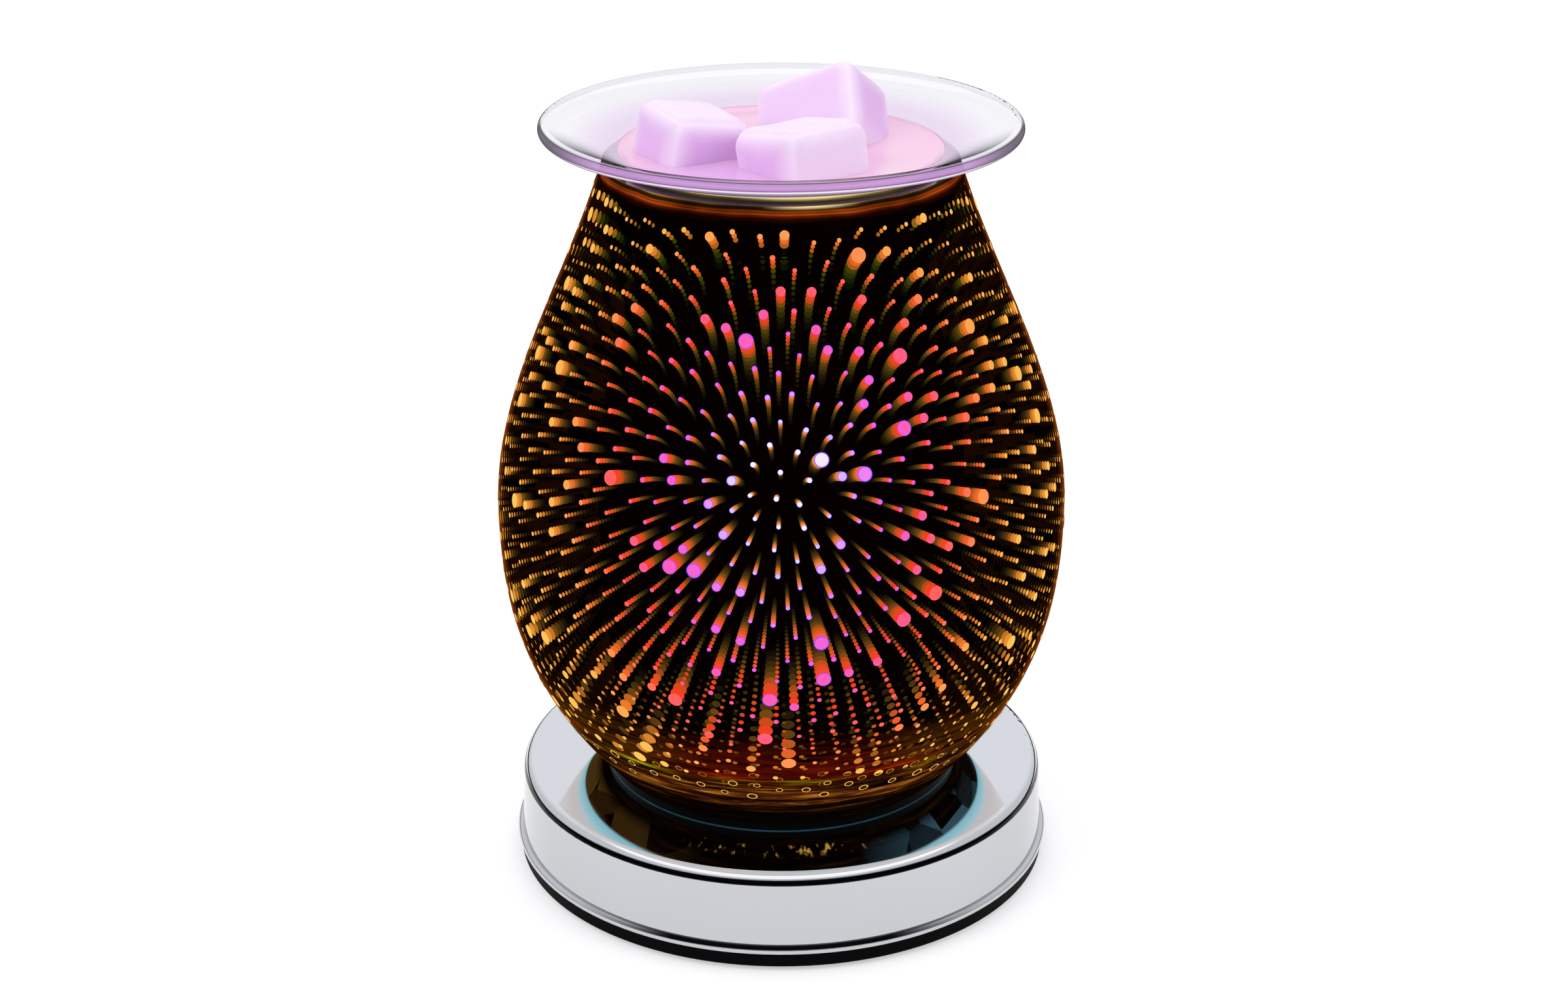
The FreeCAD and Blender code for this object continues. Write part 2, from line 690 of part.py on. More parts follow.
capacitor_x = (board_left_x + board_right_x) / 2
capacitor_y = board_low_y + board_margin + capacitor_width / 2
capacitor = block(
    capacitor_length, capacitor_width, board_top_z, board_top_z + capacitor_height, capacitor_x, capacitor_y
)
top_edges = [e for e in capacitor.Edges if e.BoundBox.ZMin > board_top_z + capacitor_height / 2]
save("suppressor_capacitor", capacitor.makeFillet(capacitor_edge_r, top_edges))

choke_y = -(choke_r + choke_section_r)
choke_place = FreeCAD.Vector(third_x, choke_y, board_top_z + choke_section_r)
save("suppressor_choke", Part.makeTorus(choke_r, choke_section_r, choke_place, Z_AXIS))

resistors = []
for i in range(resistor_count):
    resistor_y = -(resistor_r + i * (2 * resistor_r + board_gap))
    axis_z = board_top_z + resistor_r + resistor_wire_r
    body_start = FreeCAD.Vector(second_x - resistor_length / 2, resistor_y, axis_z)
    body = Part.makeCylinder(resistor_r, resistor_length, body_start, X_AXIS)
    leg_x = resistor_length / 2 + resistor_reach - resistor_wire_r
    wire = tube_along(
        [
            FreeCAD.Vector(second_x - leg_x, resistor_y, board_top_z),
            FreeCAD.Vector(second_x - leg_x, resistor_y, axis_z),
            FreeCAD.Vector(second_x + leg_x, resistor_y, axis_z),
            FreeCAD.Vector(second_x + leg_x, resistor_y, board_top_z),
        ],
        resistor_wire_r,
    )
    resistors.append(body.fuse(wire))
save("board_resistors", Part.makeCompound(resistors))

# Leads: two from the terminal block up the stem to the lamp holder, one from the board to the ring
lead_low_z = (plate_floor_z + stem_bottom_z) / 2
for name, side in (("lamp_lead_live", -1), ("lamp_lead_neutral", 1)):
    stem_x = side * lead_pitch / 2
    way_y = way_ys[1] if side < 0 else way_ys[2]
    pin_x = side * pin_pitch / 2
    route = [
        FreeCAD.Vector(terminal_face_x - lead_entry_depth, way_y, terminal_entry_z),
        FreeCAD.Vector(terminal_face_x + board_margin + lead_r, way_y, terminal_entry_z),
        FreeCAD.Vector(stem_x - stem_r, way_y / 2, lead_low_z),
        FreeCAD.Vector(stem_x, 0, stem_bottom_z - lead_r),
        FreeCAD.Vector(stem_x, 0, stem_top_z),
        FreeCAD.Vector(pin_x, 0, (stem_top_z + holder_z) / 2),
        FreeCAD.Vector(pin_x, 0, contact_z),
    ]
    save(name, tube_along(route, lead_r))

touch_pad = FreeCAD.Vector(second_x, board_high_y - board_margin - lead_r, board_top_z)
barrel_end = barrel_start + Y_AXIS * terminal_neck / 2
touch_route = [
    barrel_end,
    barrel_end + Y_AXIS * (terminal_barrel_length + lead_r),
    FreeCAD.Vector((barrel_end.x + touch_pad.x) / 2, touch_pad.y + lead_r, (barrel_end.z + touch_pad.z) / 2),
    touch_pad + Z_AXIS * (3 * lead_r),
    touch_pad,
]
save("touch_lead", tube_along(touch_route, lead_r))

# Glass dish. Its underside bends round the shade's lip; the flange runs from there to the rim bead
under_r = shade_wall / 2 + seat_gap
over_r = under_r + dish_glass
rim_centre = rz(dish_rim_r - rim_bead_r, lip_centre.z + dish_rise)
to_rim = rim_centre - lip_centre
rim_angle = math.atan2(to_rim.z, to_rim.x)
under_angle = rim_angle - math.asin((under_r + rim_bead_r) / to_rim.Length)
over_angle = rim_angle + math.asin((rim_bead_r - over_r) / to_rim.Length)
square = math.pi / 2
well_floor_z = lip_centre.z - well_depth
well_under_z = well_floor_z - dish_glass
corner_centre = rz(lip_centre.x - over_r - well_corner_r, well_floor_z + well_corner_r)


def on_arc(centre, radius, angle):
    return centre + rz(radius * math.cos(angle), radius * math.sin(angle))


under_lip = on_arc(lip_centre, under_r, under_angle + square)
under_rim = on_arc(rim_centre, rim_bead_r, under_angle - square)
over_rim = on_arc(rim_centre, rim_bead_r, over_angle + square)
over_lip = on_arc(lip_centre, over_r, over_angle + square)
over_neck = rz(lip_centre.x - over_r, lip_centre.z)
under_neck = rz(lip_centre.x - under_r, lip_centre.z)
over_corner = rz(over_neck.x, corner_centre.z)
under_corner = rz(under_neck.x, corner_centre.z)

dish_edges = [line(rz(0, well_under_z), rz(corner_centre.x, well_under_z))]
dish_edges.append(arc_about(corner_centre, well_corner_r + dish_glass, -square, 0))
dish_edges.append(line(under_corner, under_neck))
dish_edges.append(arc_about(lip_centre, under_r, math.pi, under_angle + square))
dish_edges.append(line(under_lip, under_rim))
dish_edges.append(arc_about(rim_centre, rim_bead_r, under_angle - square, 0))
dish_edges.append(arc_about(rim_centre, rim_bead_r, 0, over_angle + square))
dish_edges.append(line(over_rim, over_lip))
dish_edges.append(arc_about(lip_centre, over_r, over_angle + square, math.pi))
dish_edges.append(line(over_neck, over_corner))
dish_edges.append(arc_about(corner_centre, well_corner_r, 0, -square))
dish_edges.append(line(rz(corner_centre.x, well_floor_z), rz(0, well_floor_z)))
dish_edges.append(line(rz(0, well_floor_z), rz(0, well_under_z)))
save("glass_dish", lathe(dish_edges))

# Wax cubes. Each has its centre over the well's floor, its size, and how it has settled:
# a yaw about Z, then a lean about its own Y axis and a pitch about its own X axis.
# Places and sizes are shares of the well's inner radius.
well_r = over_neck.x
cubes = {
    "wax_left": dict(
        centre_shares=(-0.57, -0.105, 0.28), size_shares=(0.585, 0.585, 0.55), turns_deg=(31, 10, 4)
    ),
    "wax_front": dict(
        centre_shares=(0.135, -0.455, 0.252), size_shares=(0.65, 0.65, 0.58), turns_deg=(38, 0, -10)
    ),
    "wax_back": dict(
        centre_shares=(0.275, 0.38, 0.3), size_shares=(0.73, 0.6, 0.61), turns_deg=(-19, -23, -38)
    ),
}
film_top_z = well_floor_z + wax_film
melt_z = film_top_z + seat_gap


def cube_placement(cube):
    x, y, z = cube["centre_shares"]
    yaw, lean, pitch = cube["turns_deg"]
    place = FreeCAD.Vector(x * well_r, y * well_r, well_floor_z + z * well_r)
    return FreeCAD.Placement(place, FreeCAD.Rotation(yaw, lean, pitch))


def wax_cube(cube):
    """A rounded cube, turned as it lies, with its underside melted flat."""
    size = [s * well_r for s in cube["size_shares"]]
    body = Part.makeBox(*size, FreeCAD.Vector(*size) * -0.5)
    body = body.makeFillet(min(wax_edge_r, 0.45 * min(size)), body.Edges)
    body.Placement = cube_placement(cube)
    return body.cut(disc(dish_rim_r, well_under_z - dish_rim_r, melt_z))


def outward_hull(points):
    """The corners of the convex outline round plan points, counterclockwise."""
    points = sorted(points)

    def chain(ordered):
        corners = []
        for p in ordered:
            while len(corners) > 1:
                a, b = corners[-2:]
                if (b[0] - a[0]) * (p[1] - a[1]) > (b[1] - a[1]) * (p[0] - a[0]):
                    break
                corners.pop()
            corners.append(p)
        return corners[:-1]

    return chain(points) + chain(points[::-1])


def pocket(cube):
    """The upright space that a cube needs to be lifted out of the pool."""
    half = [max(s * well_r / 2 - wax_edge_r, seat_gap) for s in cube["size_shares"]]
    placement = cube_placement(cube)
    corners = []
    for sx in (-1, 1):
        for sy in (-1, 1):
            for sz in (-1, 1):
                corner = placement.multVec(FreeCAD.Vector(sx * half[0], sy * half[1], sz * half[2]))
                corners.append((corner.x, corner.y))
    hull = outward_hull(corners)
    points = [FreeCAD.Vector(x, y, film_top_z) for x, y in hull + hull[:1]]
    outline = Part.makePolygon(points).makeOffset2D(wax_edge_r + wax_clearance)
    return Part.Face(outline).extrude(Z_AXIS * well_depth * 2)


for name, cube in cubes.items():
    save(name, wax_cube(cube))

# Pool of melted wax, filling the well round the cubes
pool_top_z = lip_centre.z + wax_level
pool_angle = math.pi - math.asin(wax_level / over_r)
pool_edge = on_arc(lip_centre, over_r, pool_angle)
pool_edges = [line(rz(0, well_floor_z), rz(corner_centre.x, well_floor_z))]
pool_edges.append(arc_about(corner_centre, well_corner_r, -square, 0))
pool_edges.append(line(over_corner, over_neck))
pool_edges.append(arc_about(lip_centre, over_r, math.pi, pool_angle))
pool_edges.append(line(pool_edge, rz(0, pool_top_z)))
pool_edges.append(line(rz(0, pool_top_z), rz(0, well_floor_z)))
pool = lathe(pool_edges)
for cube in cubes.values():
    pool = pool.cut(pocket(cube))
save("melted_wax", pool)

print("rim top", round(rim_centre.z + rim_bead_r, 2), "shade lip", round(lip_top.z, 2))
print("lamp top", round(lamp_top_z, 2), "well underside", round(well_under_z, 2))
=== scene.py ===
import math

import bmesh
import bpy
from mathutils import Euler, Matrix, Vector, noise


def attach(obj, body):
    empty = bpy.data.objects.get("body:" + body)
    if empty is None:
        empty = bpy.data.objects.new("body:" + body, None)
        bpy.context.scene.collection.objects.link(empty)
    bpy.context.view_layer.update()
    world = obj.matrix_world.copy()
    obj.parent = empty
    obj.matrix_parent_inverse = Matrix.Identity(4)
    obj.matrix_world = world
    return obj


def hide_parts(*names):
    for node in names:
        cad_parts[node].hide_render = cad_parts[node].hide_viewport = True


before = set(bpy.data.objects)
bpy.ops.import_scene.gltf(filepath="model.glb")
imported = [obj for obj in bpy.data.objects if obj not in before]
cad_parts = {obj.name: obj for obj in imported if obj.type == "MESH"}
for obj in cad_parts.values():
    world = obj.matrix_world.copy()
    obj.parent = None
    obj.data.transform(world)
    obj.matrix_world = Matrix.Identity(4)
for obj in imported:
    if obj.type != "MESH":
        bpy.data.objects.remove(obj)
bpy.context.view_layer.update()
MM = 0.001

# Camera: it stands half a metre in front of the warmer, above the dish, and looks down on it
# by 22 degrees. The frame is 2400 by 1510 pixels.
camera_place = (0.55, -516.9, 293.2)
camera_pitch = 22.32
lens_length = 60.9
camera_data = bpy.data.cameras.new("photo_camera")
camera_data.sensor_width = 36
camera_data.lens = lens_length
camera_data.clip_start = 0.01
camera = bpy.data.objects.new("photo_camera", camera_data)
camera.location = tuple(c * MM for c in camera_place)
camera.rotation_euler = (math.radians(90 - camera_pitch), 0, 0)
bpy.context.scene.collection.objects.link(camera)
bpy.context.scene.camera = camera
bpy.context.scene.view_settings.view_transform = "Standard"


# Studio: a white room with soft boxes. What is polished sees it pale, with a bright ceiling, which
# draws the white line along the base's top edge, and a dark skirting.
def linear(code):
    """The linear colour of an sRGB hex code."""
    parts = [int(code[i : i + 2], 16) / 255 for i in (1, 3, 5)]
    return (*[p / 12.92 if p <= 0.04045 else ((p + 0.055) / 1.055) ** 2.4 for p in parts], 1)


def add(tree, kind, settings=None, inputs=None):
    """A node with its settings. An input is a value, another node's output, or a node for its first one."""
    node = tree.nodes.new(kind)
    for name, value in (settings or {}).items():
        setattr(node, name, value)
    for key, value in (inputs or {}).items():
        if isinstance(value, bpy.types.Node):
            value = value.outputs[0]
        if isinstance(value, bpy.types.NodeSocket):
            tree.links.new(value, node.inputs[key])
        else:
            node.inputs[key].default_value = value
    return node


times = {"operation": "MULTIPLY"}
times_plus = {"operation": "MULTIPLY_ADD"}
larger = {"operation": "MAXIMUM"}
smooth = {"interpolation_type": "SMOOTHSTEP"}
mix_colours = {"data_type": "RGBA"}
tint_colours = {"data_type": "RGBA", "blend_type": "MULTIPLY"}
# How steeply a ray rises where the skirting ends and where the ceiling begins.
skirting_top, skirting_full = 0.15, 0.1
ceiling_edge, ceiling_full = 0.76, 0.84
ceiling_light = (1.6, 1.6, 1.62, 1.0)
world = bpy.data.worlds.new("white_studio")
bpy.context.scene.world = world
world.use_nodes = True
sky = world.node_tree
sky.nodes.clear()
rays = add(sky, "ShaderNodeLightPath")
bearing = add(sky, "ShaderNodeTexCoord")
upward = add(sky, "ShaderNodeSeparateXYZ", {}, {0: bearing.outputs["Generated"]})
low = add(sky, "ShaderNodeMapRange", smooth, {0: upward.outputs["Z"], 1: skirting_top, 2: skirting_full})
walls = add(sky, "ShaderNodeMix", mix_colours, {0: low, 6: linear("#f0f1f4"), 7: linear("#0b0b0c")})
overhead = add(
    sky, "ShaderNodeMapRange", smooth, {0: upward.outputs["Z"], 1: ceiling_edge, 2: ceiling_full}
)
room = add(sky, "ShaderNodeMix", mix_colours, {0: overhead, 6: walls.outputs[2], 7: ceiling_light})
open_view = add(
    sky, "ShaderNodeMath", larger,
    {0: rays.outputs["Is Camera Ray"], 1: rays.outputs["Is Transmission Ray"]},
)
lit = add(
    sky, "ShaderNodeMix", mix_colours,
    {0: rays.outputs["Is Diffuse Ray"], 6: room.outputs[2], 7: linear("#e4e4e6")},
)
shown = add(sky, "ShaderNodeMix", mix_colours, {0: open_view, 6: lit.outputs[2], 7: linear("#ffffff")})
background = add(sky, "ShaderNodeBackground", {}, {0: shown.outputs[2], 1: 1.0})
add(sky, "ShaderNodeOutputWorld", {}, {0: background})

aim = Vector((0, 0, 0.1))
for name, place, width, watts in (
    ("soft_box_left", (-0.9, -0.55, 0.8), 0.7, 4.0),
    ("soft_box_right", (0.95, -0.35, 0.6), 0.6, 2.0),
    ("soft_box_back", (0.1, 0.9, 0.9), 0.8, 2.0),
):
    lamp_data = bpy.data.lights.new(name, "AREA")
    lamp_data.energy = watts
    lamp_data.size = width
    soft_box = bpy.data.objects.new(name, lamp_data)
    soft_box.visible_glossy = False
    soft_box.location = place
    soft_box.rotation_euler = (aim - Vector(place)).to_track_quat("-Z", "Y").to_euler()
    bpy.context.scene.collection.objects.link(soft_box)


# Floor: a wide sheet of matt white paper. It shows white to the eye and in glass and metal, and
# keeps the warmer's soft shadow.
def new_finish(name):
    """An empty material: itself, its node tree and its output node."""
    finish = bpy.data.materials.new(name)
    finish.use_nodes = True
    finish.node_tree.nodes.clear()
    return finish, finish.node_tree, finish.node_tree.nodes.new("ShaderNodeOutputMaterial")


def new_object(name, mesh):
    """An object of the mesh, in the scene."""
    piece = bpy.data.objects.new(name, mesh)
    bpy.context.scene.collection.objects.link(piece)
    return piece


floor_radius = 4.0
paper_lift = 0.45
floor_mesh = bpy.data.meshes.new("studio_floor")
disc = bmesh.new()
bmesh.ops.create_circle(disc, cap_ends=True, segments=96, radius=floor_radius)
disc.to_mesh(floor_mesh)
disc.free()
floor = new_object("studio_floor", floor_mesh)
paper, tree, output = new_finish("white paper")
rays = add(tree, "ShaderNodeLightPath")
seen = add(
    tree, "ShaderNodeMath", larger,
    {0: rays.outputs["Is Camera Ray"], 1: rays.outputs["Is Transmission Ray"]},
)
seen = add(tree, "ShaderNodeMath", larger, {0: seen, 1: rays.outputs["Is Glossy Ray"]})
sheet = add(tree, "ShaderNodeBsdfDiffuse", {}, {0: linear("#d8d8da")})
glow = add(tree, "ShaderNodeEmission", {}, {0: linear("#ffffff"), 1: paper_lift})
lifted = add(tree, "ShaderNodeAddShader", {}, {0: sheet, 1: glow})
choice = add(tree, "ShaderNodeMixShader", {}, {0: seen, 1: sheet, 2: lifted})
tree.links.new(choice.outputs[0], output.inputs[0])
floor_mesh.materials.append(paper)


# Base plate: a moulded ABS tray that closes the base from below, with the black rim that shows
# under the chrome. Spark-eroded tooling gives it a fine, even grain.
def plain_finish(
    name, colour, other_colour, grain, roughness, metallic=0.0, relief=0.0, ior=1.5, specular=0.5
):
    """A finish in two near colours, in patches as wide as the grain. Grain and relief are in mm."""
    finish, tree, output = new_finish(name)
    place = add(tree, "ShaderNodeTexCoord")
    patches = add(
        tree, "ShaderNodeTexNoise", {},
        {"Vector": place.outputs["Object"], "Scale": 1 / (grain * MM), "Detail": 4.0},
    )
    colours = add(
        tree, "ShaderNodeMix", mix_colours,
        {0: patches.outputs["Fac"], 6: linear(colour), 7: linear(other_colour)},
    )
    gloss = add(
        tree, "ShaderNodeMapRange", {},
        {0: patches.outputs["Fac"], 3: roughness * 0.8, 4: min(roughness * 1.25, 1.0)},
    )
    bump = add(
        tree, "ShaderNodeBump", {},
        {"Strength": 1.0 if relief else 0.0, "Distance": relief * MM, "Height": patches.outputs["Fac"]},
    )
    surface = add(
        tree, "ShaderNodeBsdfPrincipled", {},
        {
            "Base Color": colours.outputs[2], "Roughness": gloss, "Metallic": metallic, "IOR": ior,
            "Specular IOR Level": specular, "Normal": bump.outputs["Normal"],
        },
    )
    tree.links.new(surface.outputs[0], output.inputs[0])
    return finish


def dress(finish, *names):
    """Gives CAD nodes their finish."""
    for name in names:
        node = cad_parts[name]
        for holder in node.material_slots:
            holder.material = finish


moulded_abs = plain_finish("moulded ABS", "#020202", "#060606", 0.25, 0.5, relief=0.01, specular=0.03)
dress(moulded_abs, "base_plate")

# Feet: four pads of rubber, pressed into shallow recesses of the base plate. The rubber is matt and
# a little paler than the plate.
pressed_rubber = plain_finish("pressed rubber", "#1c1c1c", "#262625", 0.4, 0.85, relief=0.02)
dress(pressed_rubber, "rubber_feet")

# Dimmer board: glass-epoxy laminate under green solder resist, screwed to standoffs of the plate.
# The resist is half glossy and lets the weave show as faint patches.
laminate = plain_finish("green solder resist on glass epoxy", "#1d5a35", "#236b40", 0.6, 0.35, relief=0.005)
dress(laminate, "circuit_board")

# Dimmer parts: the touch chip and the triac in black epoxy, the capacitor in a moulded case,
# three film resistors, and the terminal block.
black_epoxy = plain_finish("moulded black epoxy", "#17171a", "#202024", 0.3, 0.5, relief=0.008)
dress(black_epoxy, "touch_chip", "dimmer_triac")
capacitor_case = plain_finish("yellow capacitor case", "#c99a2e", "#d4a83a", 1.0, 0.4, relief=0.005)
dress(capacitor_case, "suppressor_capacitor")
resistor_lacquer = plain_finish("resistor lacquer", "#b98f5e", "#c49a68", 0.5, 0.35)
dress(resistor_lacquer, "board_resistors")
terminal_nylon = plain_finish("grey nylon", "#8d9196", "#979ba0", 0.8, 0.5, relief=0.006)
dress(terminal_nylon, "terminal_block")

# Suppressor choke: a ferrite ring with enamelled copper wire wound round it. The windings are too
# fine to make, so a relief in coarse patches stands for them.
ferrite = plain_finish("ferrite under copper windings", "#8a4a22", "#a45c2c", 0.5, 0.35, 0.7, relief=0.05)
dress(ferrite, "suppressor_choke")

# Steel fixings: screws, pillars, the hollow stem, its nuts and washer, and the bracket of the
# lamp holder. They are turned or pressed from steel and zinc plated, which leaves a soft grey shine.
zinc_plate = plain_finish("zinc plated steel", "#9aa0a4", "#b4b9bc", 1.2, 0.32, 1.0, relief=0.004)
dress(
    zinc_plate, "base_plate_screws", "shell_pillars", "board_screws", "terminal_screws", "stem_tube",
    "stem_nut", "lock_washer", "clamp_plate", "clamp_nut", "bracket_nuts", "holder_bracket", "holder_screws",
)

# Touch contact and lamp contacts: brass, bright and yellow. The ring terminal is clamped under the
# shell and carries the touch signal; the two sockets in the holder grip the lamp's pins.
pressed_brass = plain_finish("pressed brass", "#b98f42", "#cda557", 0.8, 0.28, 1.0, relief=0.003)
dress(pressed_brass, "touch_terminal", "holder_contacts")

# Leads: stranded wire in heat-proof silicone sleeves, which are matt and off-white. They run up the
# stem to the lamp, and a short one runs to the touch ring.
lead_sleeve = plain_finish("silicone lead sleeve", "#d9d5ca", "#e6e2d8", 0.7, 0.55, relief=0.01)
dress(lead_sleeve, "lamp_lead_live", "lamp_lead_neutral", "touch_lead")

# Base shell: a drawn steel cup with a rolled bead, polished and chromium plated. It is a mirror with
# a slightly blue grey of its own and very faint wipe marks, and a painted highlight makes its flat top
# the brightest. Dark lines along the top edge and the bead's front are painted reflections, standing
# for what such tight curves mirror.
wipe_width = 14
flat_top = (20.9, 21.25)
edge_line = ((19.0, 19.25), (20.4, 20.15))
bead_line = ((5.25, 5.35), (5.95, 5.88))
bead_line_end, bead_line_full = 48, 22
chrome, tree, output = new_finish("chromium plate")
place = add(tree, "ShaderNodeTexCoord")
wipes = add(
    tree, "ShaderNodeTexNoise", {},
    {"Vector": place.outputs["Object"], "Scale": 1 / (wipe_width * MM), "Detail": 3.0},
)
shine = add(tree, "ShaderNodeMapRange", {}, {0: wipes.outputs["Fac"], 3: 0.02, 4: 0.06})
spot = add(tree, "ShaderNodeSeparateXYZ", {}, {0: place.outputs["Object"]})
aside = add(tree, "ShaderNodeMath", {"operation": "ABSOLUTE"}, {0: spot.outputs["X"]})
in_middle = add(
    tree, "ShaderNodeMapRange", smooth, {0: aside, 1: bead_line_end * MM, 2: bead_line_full * MM}
)
# Painted reflections: dark lines along the top edge and the bead's front.
dark_line = 0.0
for ends, line in ((bead_line, in_middle), (edge_line, 1.0)):
    for none, full in ends:
        within = add(
            tree, "ShaderNodeMapRange", smooth, {0: spot.outputs["Z"], 1: none * MM, 2: full * MM}
        )
        line = add(tree, "ShaderNodeMath", times, {0: line, 1: within})
    dark_line = add(tree, "ShaderNodeMath", larger, {0: dark_line, 1: line})
# Painted highlight: the flat top is mixed to a brighter grey.
on_top = add(
    tree, "ShaderNodeMapRange", {}, {0: spot.outputs["Z"], 1: flat_top[0] * MM, 2: flat_top[1] * MM}
)
painted_bright_top = add(tree, "ShaderNodeMix", mix_colours, {0: on_top, 6: linear("#c6c8cb"), 7: linear("#e2e4e8")})
plating = add(tree, "ShaderNodeMix", mix_colours, {0: dark_line, 6: painted_bright_top.outputs[2], 7: linear("#08080a")})
surface = add(
    tree, "ShaderNodeBsdfPrincipled", {},
    {"Base Color": plating.outputs[2], "Metallic": 1.0, "Roughness": shine},
)
tree.links.new(surface.outputs[0], output.inputs[0])
dress(chrome, "base_shell")

# Cord inlet grommet: a moulded ring of soft black rubber. Its groove snaps round the hole in the
# back of the shell's wall.
inlet_rubber = plain_finish("soft black rubber", "#161616", "#1f1f1f", 0.4, 0.7, relief=0.015)
dress(inlet_rubber, "cord_grommet")

# Gaskets: smoky silicone rings under and in the shade, coloured nearly black, with a painted blue
# line of light where the lower one meets the chrome.
contact_low, contact_high = 21.42, 21.56
cloud_width = 6
silicone, tree, output = new_finish("smoky silicone")
place = add(tree, "ShaderNodeTexCoord")
height = add(tree, "ShaderNodeSeparateXYZ", {}, {0: place.outputs["Object"]})
cloud = add(
    tree, "ShaderNodeTexNoise", {},
    {"Vector": place.outputs["Object"], "Scale": 1 / (cloud_width * MM), "Detail": 2.0},
)
# Painted light: a blue line along the foot of the lower gasket, where it meets the chrome; above it, near
# black.
painted_blue_line = add(
    tree, "ShaderNodeMix", mix_colours,
    {0: cloud.outputs["Fac"], 6: linear("#1c3e49"), 7: linear("#2f5f6e")},
)
contact = add(
    tree, "ShaderNodeMapRange", {}, {0: height.outputs["Z"], 1: contact_low * MM, 2: contact_high * MM}
)
tint = add(tree, "ShaderNodeMix", mix_colours, {0: contact, 6: painted_blue_line.outputs[2], 7: linear("#020202")})
surface = add(
    tree, "ShaderNodeBsdfPrincipled", {},
    {"Base Color": tint.outputs[2], "Roughness": 0.4, "IOR": 1.41, "Specular IOR Level": 0.04},
)
tree.links.new(surface.outputs[0], output.inputs[0])
dress(silicone, "shade_gasket", "floor_gasket_lower", "floor_gasket_upper")

# Lamp holder: a block of pressed and fired steatite, screwed to the bracket. It is off-white and
# matt, with tiny specks.
steatite = plain_finish("steatite ceramic", "#e6e1d6", "#f2eee5", 0.5, 0.45, relief=0.01, ior=1.6)
dress(steatite, "lamp_holder")

# Lamp: a halogen capsule of clear quartz with molybdenum pins and a coiled tungsten filament, which
# glows orange to pale yellow. It pushes into the holder.
coil_pitch = 1.2
quartz, tree, output = new_finish("clear quartz")
surface = add(
    tree, "ShaderNodeBsdfPrincipled", {},
    {"Base Color": linear("#fffaf2"), "Roughness": 0.02, "IOR": 1.46, "Transmission Weight": 1.0},
)
tree.links.new(surface.outputs[0], output.inputs[0])
dress(quartz, "bulb_envelope")
lamp_pins = plain_finish("molybdenum pins", "#8d8f92", "#a3a5a8", 0.6, 0.3, 1.0)
dress(lamp_pins, "bulb_pins")
tungsten, tree, output = new_finish("glowing tungsten")
place = add(tree, "ShaderNodeTexCoord")
coils = add(
    tree, "ShaderNodeTexWave", {"bands_direction": "Z"},
    {"Vector": place.outputs["Object"], "Scale": 1 / (coil_pitch * MM)},
)
heat = add(
    tree, "ShaderNodeMix", mix_colours,
    {0: coils.outputs["Fac"], 6: linear("#ff9a3c"), 7: linear("#ffe0a8")},
)
surface = add(
    tree, "ShaderNodeBsdfPrincipled", {},
    {
        "Base Color": linear("#6b6460"), "Metallic": 1.0,
        "Emission Color": heat.outputs[2], "Emission Strength": 4.0,
    },
)
tree.links.new(surface.outputs[0], output.inputs[0])
tungsten.cycles.emission_sampling = "NONE"
dress(tungsten, "bulb_filament")

# Glass shade: blown borosilicate, clear and even, with the mirror film just under its outer face.
# The studio round it is plain, so it shows no reflection from the front, but the chrome below sees
# its belly from beneath: for that a pale sheen is painted on the glass, seen only in reflections,
# that begins in a blue border.
sheen_low, sheen_high = 27, 37
sheen_start, sheen_start_full, sheen_strength = 28.6, 29.2, 0.86
shade_glass, tree, output = new_finish("blown borosilicate glass")
surface = add(tree, "ShaderNodeBsdfTransparent", {}, {0: linear("#fcfcfc")})
rays = add(tree, "ShaderNodeLightPath")
place = add(tree, "ShaderNodeTexCoord")
height = add(tree, "ShaderNodeSeparateXYZ", {}, {0: place.outputs["Object"]})
# Painted sheen: pale with a blue border, on the outer face, seen only in reflections.
sheen_height = add(
    tree, "ShaderNodeMapRange", {}, {0: height.outputs["Z"], 1: sheen_low * MM, 2: sheen_high * MM}
)
sheen_colour = add(tree, "ShaderNodeValToRGB", {}, {0: sheen_height})
sheen_colour.color_ramp.elements[0].color = linear("#86c2d2")
sheen_colour.color_ramp.elements[1].color = linear("#f2ecea")
for place_share, code in ((0.24, "#9cd6e2"), (0.34, "#b8e2ea"), (0.42, "#dedede"), (0.6, "#e8dedc")):
    sheen_colour.color_ramp.elements.new(place_share).color = linear(code)
sheen = add(tree, "ShaderNodeEmission", {}, {0: sheen_colour.outputs[0]})
painted_sheen_mask = add(
    tree, "ShaderNodeMapRange", smooth,
    {0: height.outputs["Z"], 1: sheen_start * MM, 2: sheen_start_full * MM, 4: sheen_strength},
)
side = add(tree, "ShaderNodeNewGeometry")
flat = add(tree, "ShaderNodeVectorMath", times, {0: place.outputs["Object"], 1: (1, 1, 0)})
turned = add(tree, "ShaderNodeVectorMath", {"operation": "DOT_PRODUCT"}, {0: flat, 1: side.outputs["Normal"]})
outer = add(tree, "ShaderNodeMath", {"operation": "GREATER_THAN"}, {0: turned.outputs["Value"], 1: 0.0})
mirrored = add(tree, "ShaderNodeMath", times, {0: painted_sheen_mask, 1: rays.outputs["Is Glossy Ray"]})
mirrored = add(tree, "ShaderNodeMath", times, {0: mirrored, 1: outer})
glazed = add(tree, "ShaderNodeMixShader", {}, {0: mirrored, 1: surface, 2: sheen})
tree.links.new(glazed.outputs[0], output.inputs[0])
shade_glass.cycles.emission_sampling = "NONE"
dress(shade_glass, "glass_shade")
